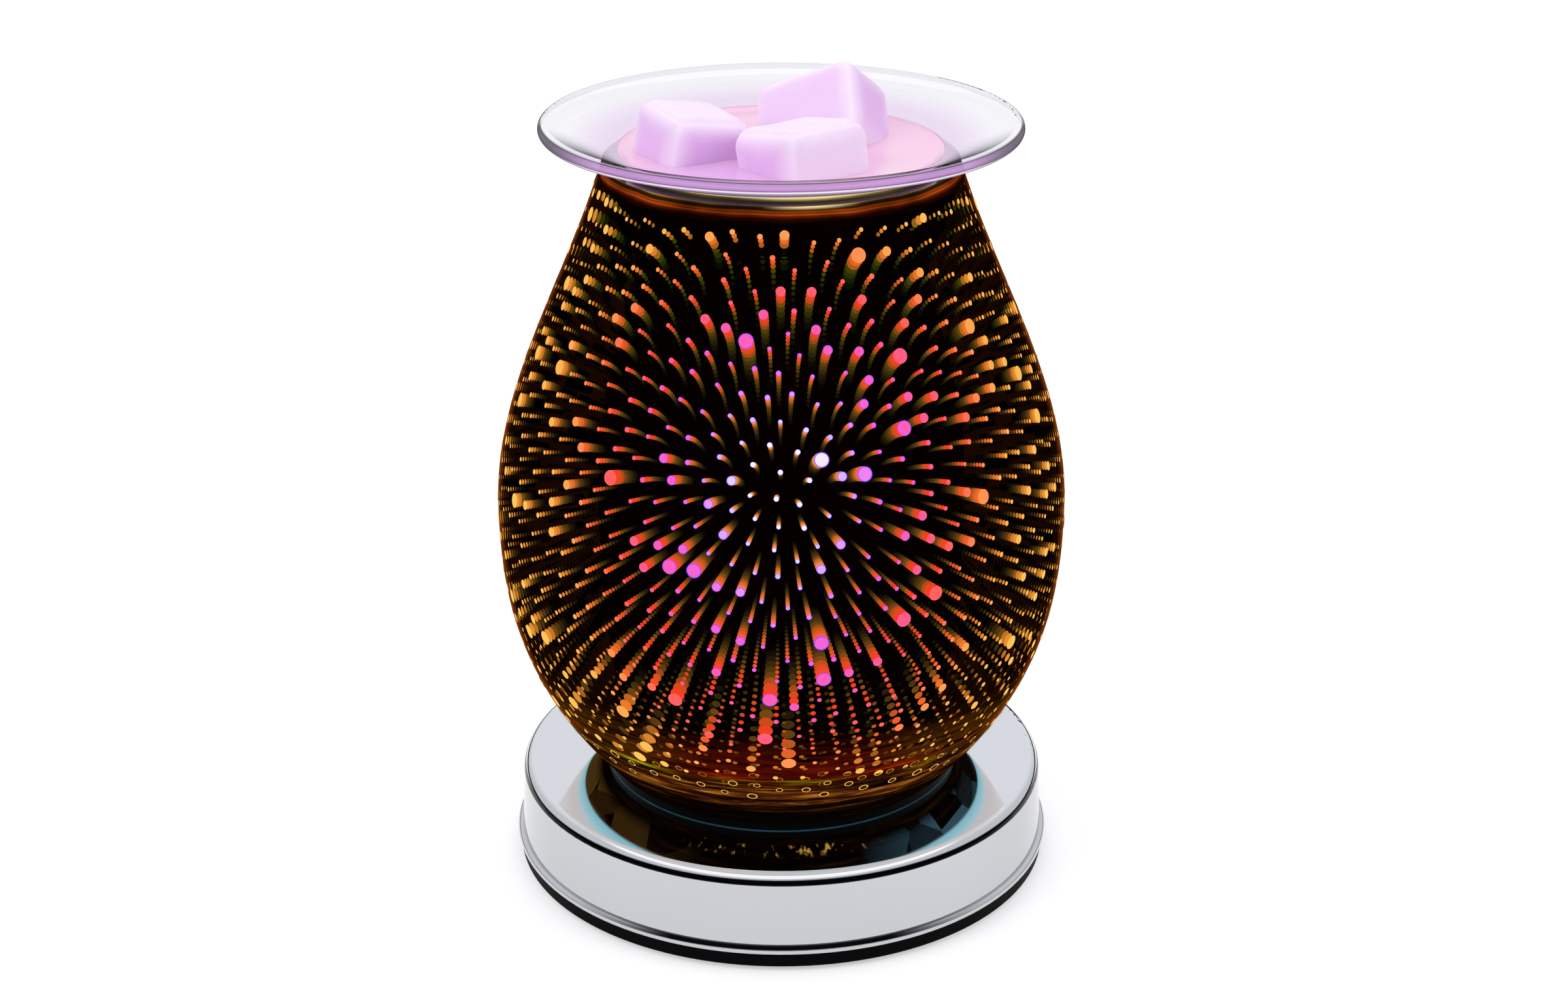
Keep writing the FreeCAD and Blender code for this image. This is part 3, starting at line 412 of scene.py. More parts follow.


# Mirror film: metal evaporated in a vacuum onto the glass, so thin that it is half clear. From inside
# it is a dull bronze; from outside the lamp's images show through it. At the foot and the collar it
# is thicker, and light is painted on it there: amber streaks, green and red above the foot, and a
# gold glare under the dish.
def lathe(name, outline, segments=192):
    """A mesh turned about Z from (radius, height) points in mm; a point on the axis closes it there."""
    made = bmesh.new()
    rows = []
    for r, z in outline:
        if r == 0:
            rows.append([made.verts.new((0, 0, z * MM))] * segments)
            continue
        turns = [2 * math.pi * i / segments for i in range(segments)]
        rows.append([made.verts.new((r * MM * math.cos(a), r * MM * math.sin(a), z * MM)) for a in turns])
    for low, high in zip(rows, rows[1:]):
        for i in range(segments):
            j = (i + 1) % segments
            corners = list(dict.fromkeys((low[i], low[j], high[j], high[i])))
            made.faces.new(corners).smooth = True
    mesh = bpy.data.meshes.new(name)
    made.to_mesh(mesh)
    made.free()
    return mesh


foot_r, foot_z = 39, 24.1
belly_gain, belly_rise, belly_fullness = 20.6, 57, 2.55
mouth_loss, mouth_rise = 23.6, 73.2
neck_square, neck_cube = 2.07, 1.07


def shade_outline(share, inset=0.0):
    """(radius, height) on the shade's curve, or inset behind it: 0 is the foot, 1 the belly, 2 the mouth."""
    places = []
    for s in (share - 0.01, share, share + 0.01):
        low = min(max(s, 0), 1)
        high = max(s - 1, 0)
        belly = belly_gain * (1 - (1 - low) ** belly_fullness)
        neck = mouth_loss * (neck_square * high**2 - neck_cube * high**3)
        places.append(Vector((foot_r + belly - neck, foot_z + belly_rise * low + mouth_rise * high)))
    along = (places[2] - places[0]).normalized()
    return places[1].x - inset * along.y, places[1].y + inset * along.x


film_inset = 0.25
film_start, film_span = 0.01, 1.985
outline_steps = 72
streak_length, streak_height = 50 / 3, 10 / 9
foot_full, foot_end = 37.4, 38.8
foot_dark, foot_clear = 28, 33
foot_glow, foot_glow_full = 36.5, 38.5
tints_low, tints_high = 36, 44
wisps_full, wisps_end = 39, 43.5
haze_full, haze_end = 41, 54
collar_start, collar_full = 150.6, 151.4
collar_low, collar_high = 150.2, 154.4
collar_ripple, ripple_width, patch_width = 0.5, 12, 16
glare_place = (6, -36, 154.2)
glare_core, glare_end = 1, 10
glare_low, glare_full = 153.1, 153.9
film_foot = [(36.5, 23.3), (38.0, 23.35), (38.5, 23.7)]
film_shares = [film_start + film_span * i / outline_steps for i in range(outline_steps + 1)]
film_points = film_foot + [shade_outline(s, film_inset) for s in film_shares]
film = new_object("mirror_film", lathe("mirror_film", film_points[::-1]))
film_finish, tree, output = new_finish("evaporated mirror film")
place = add(tree, "ShaderNodeTexCoord")
height = add(tree, "ShaderNodeSeparateXYZ", {}, {0: place.outputs["Object"]})
streak_scale = [1 / (size * MM) for size in (streak_length, streak_length, streak_height)]
stretch = add(tree, "ShaderNodeMapping", {}, {"Vector": place.outputs["Object"], "Scale": streak_scale})
streaks = add(
    tree, "ShaderNodeTexNoise", {}, {"Vector": stretch, "Scale": 1.0, "Detail": 4.0, "Roughness": 0.65}
)
foot_solid = add(
    tree, "ShaderNodeMapRange", {}, {0: height.outputs["Z"], 1: foot_end * MM, 2: foot_full * MM}
)
foot_zone = add(
    tree, "ShaderNodeMapRange", {}, {0: height.outputs["Z"], 1: wisps_end * MM, 2: wisps_full * MM}
)
foot_wisps = add(tree, "ShaderNodeMapRange", {}, {0: streaks.outputs["Fac"], 1: 0.47, 2: 0.58})
foot_broken = add(tree, "ShaderNodeMath", times, {0: foot_zone, 1: foot_wisps})
foot = add(tree, "ShaderNodeMath", larger, {0: foot_solid, 1: foot_broken})
collar = add(
    tree, "ShaderNodeMapRange", {}, {0: height.outputs["Z"], 1: collar_start * MM, 2: collar_full * MM}
)
# Painted light in the foot band: amber streaks, dark low down, tinted green and red above the foot.
foot_colours = add(tree, "ShaderNodeValToRGB", {}, {0: streaks.outputs["Fac"]})
for place_share, code in (
    (0.36, "#060201"), (0.48, "#2a1104"), (0.56, "#6e3510"), (0.66, "#b8741f"), (0.76, "#e8b450"),
):
    foot_colours.color_ramp.elements.new(place_share).color = linear(code)
ripple = add(
    tree, "ShaderNodeTexNoise", {},
    {"Vector": place.outputs["Object"], "Scale": 1 / (ripple_width * MM), "Detail": 1.0},
)
wander = add(
    tree, "ShaderNodeMapRange", {},
    {0: ripple.outputs["Fac"], 3: -collar_ripple * MM, 4: collar_ripple * MM},
)
wavy_height = add(tree, "ShaderNodeMath", {"operation": "ADD"}, {0: height.outputs["Z"], 1: wander})
collar_height = add(tree, "ShaderNodeMapRange", {}, {0: wavy_height, 1: collar_low * MM, 2: collar_high * MM})
# Painted light in the collar: olive, orange and gold bands, unevenly bright.
collar_colours = add(tree, "ShaderNodeValToRGB", {}, {0: collar_height})
for place_share, code in (
    (0.1, "#240c04"), (0.16, "#0c0301"), (0.34, "#240802"), (0.46, "#5c1c06"), (0.52, "#a8440c"),
    (0.58, "#6a2406"), (0.64, "#8a3a0a"), (0.72, "#1c0c02"), (0.84, "#2c2408"), (0.92, "#a87c24"),
    (0.98, "#e8c870"),
):
    collar_colours.color_ramp.elements.new(place_share).color = linear(code)
for ramp in (foot_colours.color_ramp, collar_colours.color_ramp):
    ramp.elements[0].color = linear("#030101")
# Painted glare under the dish, gold towards white.
glare_reach = add(
    tree, "ShaderNodeVectorMath", {"operation": "DISTANCE"},
    {0: place.outputs["Object"], 1: tuple(c * MM for c in glare_place)},
).outputs["Value"]
glare_near = add(
    tree, "ShaderNodeMapRange", smooth, {0: glare_reach, 1: glare_end * MM, 2: glare_core * MM}
)
glare_high = add(
    tree, "ShaderNodeMapRange", smooth, {0: height.outputs["Z"], 1: glare_low * MM, 2: glare_full * MM}
)
glare = add(tree, "ShaderNodeMath", times, {0: glare_near, 1: glare_high})
uneven = add(
    tree, "ShaderNodeTexNoise", {},
    {"Vector": place.outputs["Object"], "Scale": 1 / (patch_width * MM), "Detail": 2.0},
)
dimmed = add(tree, "ShaderNodeMapRange", {}, {0: uneven.outputs["Fac"], 1: 0.35, 2: 0.62, 3: 0.25, 4: 1.3})
collar_uneven = add(tree, "ShaderNodeMix", tint_colours, {0: 1.0, 6: collar_colours.outputs[0], 7: dimmed})
collar_light = add(
    tree, "ShaderNodeMix", mix_colours, {0: glare, 6: collar_uneven.outputs[2], 7: linear("#ffe6a0")}
)
foot_fade = add(
    tree, "ShaderNodeMapRange", {},
    {0: height.outputs["Z"], 1: foot_dark * MM, 2: foot_clear * MM, 3: 0.02, 4: 0.8},
)
foot_height = add(
    tree, "ShaderNodeMapRange", {}, {0: height.outputs["Z"], 1: tints_low * MM, 2: tints_high * MM}
)
foot_tints = add(tree, "ShaderNodeValToRGB", {}, {0: foot_height})
foot_tints.color_ramp.elements[0].color = linear("#ffffff")
foot_tints.color_ramp.elements[1].color = linear("#8a160a")
for place_share, code in ((0.14, "#ffffff"), (0.26, "#a4e040"), (0.44, "#7cbc2c"), (0.54, "#c8401c")):
    foot_tints.color_ramp.elements.new(place_share).color = linear(code)
foot_tinted = add(
    tree, "ShaderNodeMix", tint_colours,
    {0: 1.0, 6: foot_colours.outputs[0], 7: foot_tints.outputs[0]},
)
foot_strength = add(
    tree, "ShaderNodeMapRange", {},
    {0: height.outputs["Z"], 1: foot_glow * MM, 2: foot_glow_full * MM, 3: 1.0, 4: 2.2},
)
foot_light = add(
    tree, "ShaderNodeMix", mix_colours,
    {0: foot_fade, 6: linear("#040201"), 7: foot_tinted.outputs[2]},
)
outside = add(
    tree, "ShaderNodeMix", mix_colours, {0: collar, 6: foot_light.outputs[2], 7: collar_light.outputs[2]}
)

# Painted reflections, seen only in the chrome below: amber sparks from the foot's front, and dull
# facets at its sides, olive on the left and blue on the right.
spark_width, spark_height = 10 / 7, 25 / 6
spark_band = ((24.0, 24.4), (26.2, 25.2))
spark_front, spark_front_full = -34, -37
facet_width = 11
facet_side, facet_side_full = 16, 30
facet_low, facet_full = 24.6, 26.6
middle_blend = 5
rays = add(tree, "ShaderNodeLightPath")
spark_scale = [1 / (size * MM) for size in (spark_width, spark_width, spark_height)]
upright_grain = add(tree, "ShaderNodeMapping", {}, {"Vector": place.outputs["Object"], "Scale": spark_scale})
grain = add(tree, "ShaderNodeTexNoise", {}, {"Vector": upright_grain, "Scale": 1.0, "Detail": 2.0})
sparks = add(tree, "ShaderNodeMapRange", {}, {0: grain.outputs["Fac"], 1: 0.58, 2: 0.68})
for near, far in spark_band:
    inside = add(tree, "ShaderNodeMapRange", {}, {0: height.outputs["Z"], 1: near * MM, 2: far * MM})
    sparks = add(tree, "ShaderNodeMath", times, {0: sparks, 1: inside})
to_front = add(
    tree, "ShaderNodeMapRange", {},
    {0: height.outputs["Y"], 1: spark_front * MM, 2: spark_front_full * MM},
)
for share in (to_front, rays.outputs["Is Glossy Ray"]):
    sparks = add(tree, "ShaderNodeMath", times, {0: sparks, 1: share})
facets = add(
    tree, "ShaderNodeTexVoronoi", {},
    {"Vector": place.outputs["Object"], "Scale": 1 / (facet_width * MM)},
)
facet_share = add(tree, "ShaderNodeMapRange", {}, {0: facets.outputs["Color"], 1: 0.25, 2: 0.7})
to_side = add(tree, "ShaderNodeMath", {"operation": "ABSOLUTE"}, {0: height.outputs["X"]})
to_side = add(tree, "ShaderNodeMapRange", {}, {0: to_side, 1: facet_side * MM, 2: facet_side_full * MM})
facet_high = add(
    tree, "ShaderNodeMapRange", {}, {0: height.outputs["Z"], 1: facet_low * MM, 2: facet_full * MM}
)
for share in (to_side, facet_high, rays.outputs["Is Glossy Ray"]):
    facet_share = add(tree, "ShaderNodeMath", times, {0: facet_share, 1: share})
to_right = add(
    tree, "ShaderNodeMapRange", {}, {0: height.outputs["X"], 1: -middle_blend * MM, 2: middle_blend * MM}
)
facet_colour = add(
    tree, "ShaderNodeMix", mix_colours, {0: to_right, 6: linear("#4a3312"), 7: linear("#35505c")}
)
faceted = add(
    tree, "ShaderNodeMix", mix_colours, {0: facet_share, 6: outside.outputs[2], 7: facet_colour.outputs[2]}
)
sparked = add(tree, "ShaderNodeMix", mix_colours, {0: sparks, 6: faceted.outputs[2], 7: linear("#c8963c")})

# The film as a whole: bronze from inside, with a faint painted warm glow; from outside clear, with
# a painted amber glow on its edges where it is seen edge-on, a painted red haze of light above the
# foot, and the two bands of painted light.
# Painted amber glow where the film is seen edge-on.
edge_on = add(tree, "ShaderNodeLayerWeight", {}, {"Blend": 0.5})
painted_light_share = add(tree, "ShaderNodeMapRange", smooth, {0: edge_on.outputs["Facing"], 1: 0.8, 2: 1.0, 4: 0.8})
edge_colour = add(
    tree, "ShaderNodeMix", mix_colours,
    {0: streaks.outputs["Fac"], 6: linear("#2a0a02"), 7: linear("#d0661a")},
)
edge_glow = add(tree, "ShaderNodeEmission", {}, {0: edge_colour.outputs[2]})
bands = add(tree, "ShaderNodeMath", larger, {0: foot, 1: collar})
side = add(tree, "ShaderNodeNewGeometry")
dull_mirror = add(tree, "ShaderNodeBsdfGlossy", {}, {"Color": linear("#0c0502"), "Roughness": 0.35})
# A faint painted warm glow on the bronze inside.
painted_warm_glow = add(tree, "ShaderNodeEmission", {}, {0: linear("#120400")})
bronze = add(tree, "ShaderNodeAddShader", {}, {0: dull_mirror, 1: painted_warm_glow})
in_foot = add(
    tree, "ShaderNodeMath", {"operation": "LESS_THAN"}, {0: height.outputs["Z"], 1: wisps_end * MM}
)
band_strength = add(tree, "ShaderNodeMix", {"data_type": "FLOAT"}, {0: in_foot, 2: 1.0, 3: foot_strength})
band_glow = add(tree, "ShaderNodeEmission", {}, {0: sparked.outputs[2], 1: band_strength})
see_through = add(tree, "ShaderNodeBsdfTransparent")
clear = add(tree, "ShaderNodeMixShader", {}, {0: painted_light_share, 1: see_through, 2: edge_glow})
# A painted red glow above the foot, browner at the sides.
haze_height = add(
    tree, "ShaderNodeMapRange", smooth,
    {0: height.outputs["Z"], 1: haze_end * MM, 2: haze_full * MM, 4: 0.42},
)
haze_streaks = add(tree, "ShaderNodeMapRange", {}, {0: streaks.outputs["Fac"], 1: 0.35, 2: 0.65})
haze = add(tree, "ShaderNodeMath", times, {0: haze_height, 1: haze_streaks})
haze_colour = add(
    tree, "ShaderNodeMix", mix_colours, {0: to_side, 6: linear("#96240c"), 7: linear("#8a4e12")}
)
haze_glow = add(tree, "ShaderNodeEmission", {}, {0: haze_colour.outputs[2]})
hazy = add(tree, "ShaderNodeMixShader", {}, {0: haze, 1: clear, 2: haze_glow})
seen_outside = add(tree, "ShaderNodeMixShader", {}, {0: bands, 1: hazy, 2: band_glow})
both = add(tree, "ShaderNodeMixShader", {}, {0: side.outputs["Backfacing"], 1: bronze, 2: seen_outside})
tree.links.new(both.outputs[0], output.inputs[0])
film_finish.cycles.emission_sampling = "NONE"
film_finish.use_backface_culling = True
film.data.materials.append(film_finish)
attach(film, "base")

# Dark depth: painted shade, a dark shell for what the mirror film shows between the lamp's images,
# near black with faintly glowing brown patches. It stands where the deepest images end, so the lamp
# itself can't be seen from outside. It is no piece of the real warmer.
depth_wall = 0.4
cloud_width = 9
depth_outer = [
    (31, 33), (36, 42), (38, 56), (38.5, 80), (38, 95), (35, 110), (31.5, 122), (29.5, 133), (31, 140),
    (34.8, 144.6), (34.8, 151.2),
]
depth_inner = [(r - depth_wall, z) for r, z in depth_outer[::-1]]
depth = new_object("mirror_depth", lathe("mirror_depth", depth_outer + depth_inner + depth_outer[:1]))
depth_finish, tree, output = new_finish("dark of the mirror")
place = add(tree, "ShaderNodeTexCoord")
cloud = add(
    tree, "ShaderNodeTexNoise", {},
    {"Vector": place.outputs["Object"], "Scale": 1 / (cloud_width * MM), "Detail": 2.0},
)
# Painted shade: near black, with faintly glowing brown patches.
dark = add(
    tree, "ShaderNodeMix", mix_colours, {0: cloud.outputs["Fac"], 6: linear("#010000"), 7: linear("#0a0201")}
)
surface = add(
    tree, "ShaderNodeBsdfPrincipled", {},
    {
        "Base Color": linear("#040202"), "Roughness": 0.6, "Specular IOR Level": 0.0,
        "Emission Color": dark.outputs[2], "Emission Strength": 1.0,
    },
)
tree.links.new(surface.outputs[0], output.inputs[0])
depth_finish.cycles.emission_sampling = "NONE"
depth.data.materials.append(depth_finish)
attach(depth, "base")

# Lamp images: each pinhole that is left in the film shows the lamp again and again, further in and
# dimmer. An image is a thin lens of light, and a row of them bends down under the shade's neck and up
# over its foot, as curved mirrors turn it. The lowest images are rings.
hole_limit = 900000.0
colour_width = 60
colour_middle, colour_top, colour_below = 107, 169, 0.56
foot_colour, foot_colour_full = 52, 38
long_low_start, long_low_full, long_low_gain = 68, 42, 0.75
long_high_start, long_high_full, long_high_gain = 122, 146, 0.5
rise_full, rise_end, rise_angle = 36, 79, 62
dip_start, dip_full, dip_angle, dip_side_ease = 84, 130, -40, 20
bend_start, bend_full, bend_angle = 98, 140, -70
lens_thickness = 0.08
ring_start, ring_full = 39.6, 39.2
ring_small, ring_large = 0.7, 1.2
images = bpy.data.node_groups.new("lamp_images", "GeometryNodeTree")
for name, kind in (
    ("Film", "Geometry"), ("Spacing", "Float"), ("Depth", "Float"), ("Images", "Int"),
    ("From Share", "Float"), ("To Share", "Float"), ("Radius", "Float"), ("Large Share", "Float"),
    ("Large Radius", "Float"), ("Corners", "Int"), ("Seed", "Int"), ("Finish", "Material"),
):
    images.interface.new_socket(name, in_out="INPUT", socket_type="NodeSocket" + kind)
images.interface.new_socket("Lenses", in_out="OUTPUT", socket_type="NodeSocketGeometry")
given = add(images, "NodeGroupInput").outputs
holes = add(
    images, "GeometryNodeDistributePointsOnFaces", {"distribute_method": "POISSON"},
    {
        "Mesh": given["Film"], "Distance Min": given["Spacing"], "Density Max": hole_limit,
        "Seed": given["Seed"],
    },
)
draw = add(images, "FunctionNodeRandomValue", {"data_type": "FLOAT"}, {"Seed": given["Seed"]}).outputs[1]
kept_draw = add(
    images, "GeometryNodeStoreNamedAttribute", {"data_type": "FLOAT", "domain": "POINT"},
    {"Geometry": holes, "Name": "draw", "Value": draw},
)
draw = add(images, "GeometryNodeInputNamedAttribute", {"data_type": "FLOAT"}, {"Name": "draw"}).outputs[0]
too_low = add(images, "ShaderNodeMath", {"operation": "LESS_THAN"}, {0: draw, 1: given["From Share"]})
too_high = add(images, "ShaderNodeMath", {"operation": "GREATER_THAN"}, {0: draw, 1: given["To Share"]})
other_size = add(images, "ShaderNodeMath", {"operation": "ADD"}, {0: too_low, 1: too_high})
chosen = add(
    images, "GeometryNodeDeleteGeometry", {"domain": "POINT"},
    {"Geometry": kept_draw, "Selection": other_size},
)
large = add(images, "ShaderNodeMath", {"operation": "GREATER_THAN"}, {0: draw, 1: given["Large Share"]})
radius = add(
    images, "ShaderNodeMix", {"data_type": "FLOAT"}, {0: large, 2: given["Radius"], 3: given["Large Radius"]}
)
rows = add(
    images, "GeometryNodeDuplicateElements", {"domain": "POINT"},
    {"Geometry": chosen, "Amount": given["Images"]},
)
share = add(
    images, "ShaderNodeMath", {"operation": "DIVIDE"},
    {0: rows.outputs["Duplicate Index"], 1: given["Images"]},
)
spot = add(images, "GeometryNodeInputPosition")
spot_parts = add(images, "ShaderNodeSeparateXYZ", {}, {0: spot})
aside = add(
    images, "ShaderNodeMath", {"operation": "DIVIDE"}, {0: spot_parts.outputs["X"], 1: colour_width * MM}
)
above = add(
    images, "ShaderNodeMapRange", {"clamp": False},
    {0: spot_parts.outputs["Z"], 1: colour_middle * MM, 2: colour_top * MM, 3: 0.0, 4: 1.0},
)
below = add(images, "ShaderNodeMath", times, {0: above, 1: colour_below})
upright = add(images, "ShaderNodeMath", larger, {0: above, 1: below})
zone_vector = add(images, "ShaderNodeCombineXYZ", {}, {0: aside, 2: upright})
zone_length = add(images, "ShaderNodeVectorMath", {"operation": "LENGTH"}, {0: zone_vector}).outputs["Value"]
near_foot = add(
    images, "ShaderNodeMapRange", {},
    {0: spot_parts.outputs["Z"], 1: foot_colour * MM, 2: foot_colour_full * MM, 4: 0.22},
)
zone = add(images, "ShaderNodeMath", {"operation": "ADD"}, {0: zone_length, 1: near_foot})
with_zone = add(
    images, "GeometryNodeStoreNamedAttribute", {"data_type": "FLOAT", "domain": "POINT"},
    {"Geometry": rows, "Name": "zone", "Value": zone},
)
flat_spot = add(images, "ShaderNodeVectorMath", times, {0: spot, 1: (1, 1, 0)})
outward = add(images, "ShaderNodeVectorMath", {"operation": "NORMALIZE"}, {0: flat_spot})
outward_parts = add(images, "ShaderNodeSeparateXYZ", {}, {0: outward})
sideways = add(
    images, "ShaderNodeMath", {"operation": "POWER"},
    {0: add(images, "ShaderNodeMath", {"operation": "ABSOLUTE"}, {0: outward_parts.outputs["X"]}), 1: 2.0},
)
reach_share = add(images, "ShaderNodeMath", times_plus, {0: sideways, 1: -0.65, 2: 1.0})
long_low = add(
    images, "ShaderNodeMapRange", {},
    {0: spot_parts.outputs["Z"], 1: long_low_start * MM, 2: long_low_full * MM, 4: long_low_gain},
)
long_high = add(
    images, "ShaderNodeMapRange", {},
    {0: spot_parts.outputs["Z"], 1: long_high_start * MM, 2: long_high_full * MM, 4: long_high_gain},
)
longer = add(images, "ShaderNodeMath", {"operation": "ADD"}, {0: long_low, 1: long_high})
stretched = add(images, "ShaderNodeMath", {"operation": "ADD"}, {0: reach_share, 1: longer})
reach = add(images, "ShaderNodeMath", times, {0: stretched, 1: given["Depth"]})
rise_low = add(
    images, "ShaderNodeMapRange", {},
    {
        0: spot_parts.outputs["Z"], 1: rise_full * MM, 2: rise_end * MM,
        3: math.radians(rise_angle), 4: 0.0,
    },
)
side_ease = add(
    images, "ShaderNodeMath", times_plus,
    {0: sideways, 1: math.radians(dip_side_ease), 2: math.radians(dip_angle)},
)
rise_high = add(
    images, "ShaderNodeMapRange", {},
    {0: spot_parts.outputs["Z"], 1: dip_start * MM, 2: dip_full * MM, 3: 0.0, 4: side_ease},
)
start_angle = add(images, "ShaderNodeMath", {"operation": "ADD"}, {0: rise_low, 1: rise_high})
bend = add(
    images, "ShaderNodeMapRange", {},
    {
        0: spot_parts.outputs["Z"], 1: bend_start * MM, 2: bend_full * MM,
        3: 0.0, 4: math.radians(bend_angle),
    },
)
end_angle = add(images, "ShaderNodeMath", {"operation": "ADD"}, {0: start_angle, 1: bend})
end_weight = add(
    images, "ShaderNodeMath", times,
    {0: add(images, "ShaderNodeMath", {"operation": "POWER"}, {0: share, 1: 2.0}), 1: 0.5},
)
start_weight = add(images, "ShaderNodeMath", {"operation": "SUBTRACT"}, {0: share, 1: end_weight})
moves = []
for wave in ("COSINE", "SINE"):
    start_part = add(
        images, "ShaderNodeMath", times,
        {0: add(images, "ShaderNodeMath", {"operation": wave}, {0: start_angle}), 1: start_weight},
    )
    end_part = add(
        images, "ShaderNodeMath", times_plus,
        {0: add(images, "ShaderNodeMath", {"operation": wave}, {0: end_angle}), 1: end_weight, 2: start_part},
    )
    moves.append(add(images, "ShaderNodeMath", times, {0: end_part, 1: reach}))
inward_move = add(images, "ShaderNodeMath", times, {0: moves[0], 1: -1.0})
flat_move = add(images, "ShaderNodeVectorMath", {"operation": "SCALE"}, {0: outward, "Scale": inward_move})
upright_move = add(images, "ShaderNodeCombineXYZ", {}, {2: moves[1]})
move = add(images, "ShaderNodeVectorMath", {"operation": "ADD"}, {0: flat_move, 1: upright_move})
fade = add(images, "ShaderNodeMath", times_plus, {0: sideways, 1: 1.2, 2: stretched})
path = add(images, "ShaderNodeMath", times, {0: share, 1: fade})
with_share = add(
    images, "GeometryNodeStoreNamedAttribute", {"data_type": "FLOAT", "domain": "POINT"},
    {"Geometry": with_zone, "Name": "image_share", "Value": path},
)
placed = add(images, "GeometryNodeSetPosition", {}, {"Geometry": with_share, "Offset": move})
lens = add(
    images, "GeometryNodeMeshCone", {"fill_type": "TRIANGLE_FAN"},
    {"Vertices": given["Corners"], "Radius Top": 0.0, "Radius Bottom": 1.0, "Depth": lens_thickness},
)
lens_spot = add(images, "GeometryNodeInputPosition")
lens_flat = add(images, "ShaderNodeVectorMath", times, {0: lens_spot, 1: (1, 1, 0)})
rim = add(images, "ShaderNodeVectorMath", {"operation": "LENGTH"}, {0: lens_flat}).outputs["Value"]
lens_rim = add(
    images, "GeometryNodeStoreNamedAttribute", {"data_type": "FLOAT", "domain": "POINT"},
    {"Geometry": lens, "Name": "rim", "Value": rim},
)
facing = add(images, "ShaderNodeSeparateXYZ", {}, {0: add(images, "GeometryNodeInputNormal")})
front = add(images, "ShaderNodeMath", {"operation": "GREATER_THAN"}, {0: facing.outputs["Z"], 1: 0.1})
lens_front = add(
    images, "GeometryNodeStoreNamedAttribute", {"data_type": "FLOAT", "domain": "FACE"},
    {"Geometry": lens_rim, "Name": "front", "Value": front},
)
away = add(
    images, "ShaderNodeVectorMath", {"operation": "SCALE"}, {0: holes.outputs["Normal"], "Scale": -1.0}
)
turn = add(images, "FunctionNodeAlignRotationToVector", {"axis": "Z"}, {"Vector": away})
shrink = add(images, "ShaderNodeMath", times_plus, {0: share, 1: -0.25, 2: 1.0})
ring = add(
    images, "ShaderNodeMapRange", {}, {0: spot_parts.outputs["Z"], 1: ring_start * MM, 2: ring_full * MM}
)
ring_radius = add(images, "ShaderNodeMapRange", {}, {0: draw, 3: ring_small * MM, 4: ring_large * MM})
wide = add(images, "ShaderNodeMix", {"data_type": "FLOAT"}, {0: ring, 2: radius.outputs[0], 3: ring_radius})
lens_size = add(images, "ShaderNodeMath", times, {0: shrink, 1: wide.outputs[0]})
lenses = add(
    images, "GeometryNodeInstanceOnPoints", {},
    {"Points": placed, "Instance": lens_front, "Rotation": turn, "Scale": lens_size},
)
real_lenses = add(images, "GeometryNodeRealizeInstances", {}, {"Geometry": lenses})
finished = add(images, "GeometryNodeSetMaterial", {}, {"Geometry": real_lenses, "Material": given["Finish"]})
add(images, "NodeGroupOutput", {}, {0: finished})

# Their light: white in the middle of the shade through pink to amber at its edges, each with a tail
# of dimmer images that turns red, brown and then dark, and greener near the top.
tail_green_low, tail_green_high = 112, 142
image_light, tree, output = new_finish("light of the lamp's images")
zone = add(tree, "ShaderNodeAttribute", {"attribute_name": "zone"}).outputs["Fac"]
share = add(tree, "ShaderNodeAttribute", {"attribute_name": "image_share"}).outputs["Fac"]
rim = add(tree, "ShaderNodeAttribute", {"attribute_name": "rim"}).outputs["Fac"]
front = add(tree, "ShaderNodeAttribute", {"attribute_name": "front"}).outputs["Fac"]
first_colour = add(tree, "ShaderNodeValToRGB", {}, {0: zone})
tail_colour = add(tree, "ShaderNodeValToRGB", {}, {0: zone})
far_colour = add(tree, "ShaderNodeValToRGB", {}, {0: share})
for ramp, start, end, stops in (
    (
        first_colour, "#ffffff", "#ffc860",
        (
            (0.11, "#fdfaff"), (0.17, "#cdbcff"), (0.24, "#e48cf4"), (0.31, "#ef62d6"), (0.4, "#f85cb8"),
            (0.47, "#ff5a86"), (0.55, "#ff5e5c"), (0.62, "#ff7650"), (0.68, "#ff9c50"), (0.76, "#ffb452"),
        ),
    ),
    (
        tail_colour, "#f0a848", "#e09a38",
        (
            (0.2, "#ec7c30"), (0.3, "#e85a20"), (0.42, "#f03a20"), (0.55, "#f03c20"), (0.65, "#f06028"),
            (0.76, "#e88a30"),
        ),
    ),
    (
        far_colour, "#b8601c", "#020101",
        (
            (0.2, "#b05a1a"), (0.3, "#905016"), (0.42, "#684212"), (0.55, "#46320e"), (0.72, "#241a08"),
            (0.88, "#0e0a04"),
        ),
    ),
):
    ramp.color_ramp.elements[0].color = linear(start)
    ramp.color_ramp.elements[1].color = linear(end)
    for place_share, code in stops:
        ramp.color_ramp.elements.new(place_share).color = linear(code)
place = add(tree, "ShaderNodeTexCoord")
height = add(tree, "ShaderNodeSeparateXYZ", {}, {0: place.outputs["Object"]}).outputs["Z"]
tail_start = add(tree, "ShaderNodeMapRange", {}, {0: share, 1: 0.02, 2: 0.1})
near_mix = add(
    tree, "ShaderNodeMix", mix_colours, {0: tail_start, 6: first_colour.outputs[0], 7: tail_colour.outputs[0]}
).outputs[2]
late = add(tree, "ShaderNodeMapRange", {}, {0: share, 1: 0.1, 2: 0.4})
near_top = add(
    tree, "ShaderNodeMapRange", {}, {0: height, 1: tail_green_low * MM, 2: tail_green_high * MM}
)
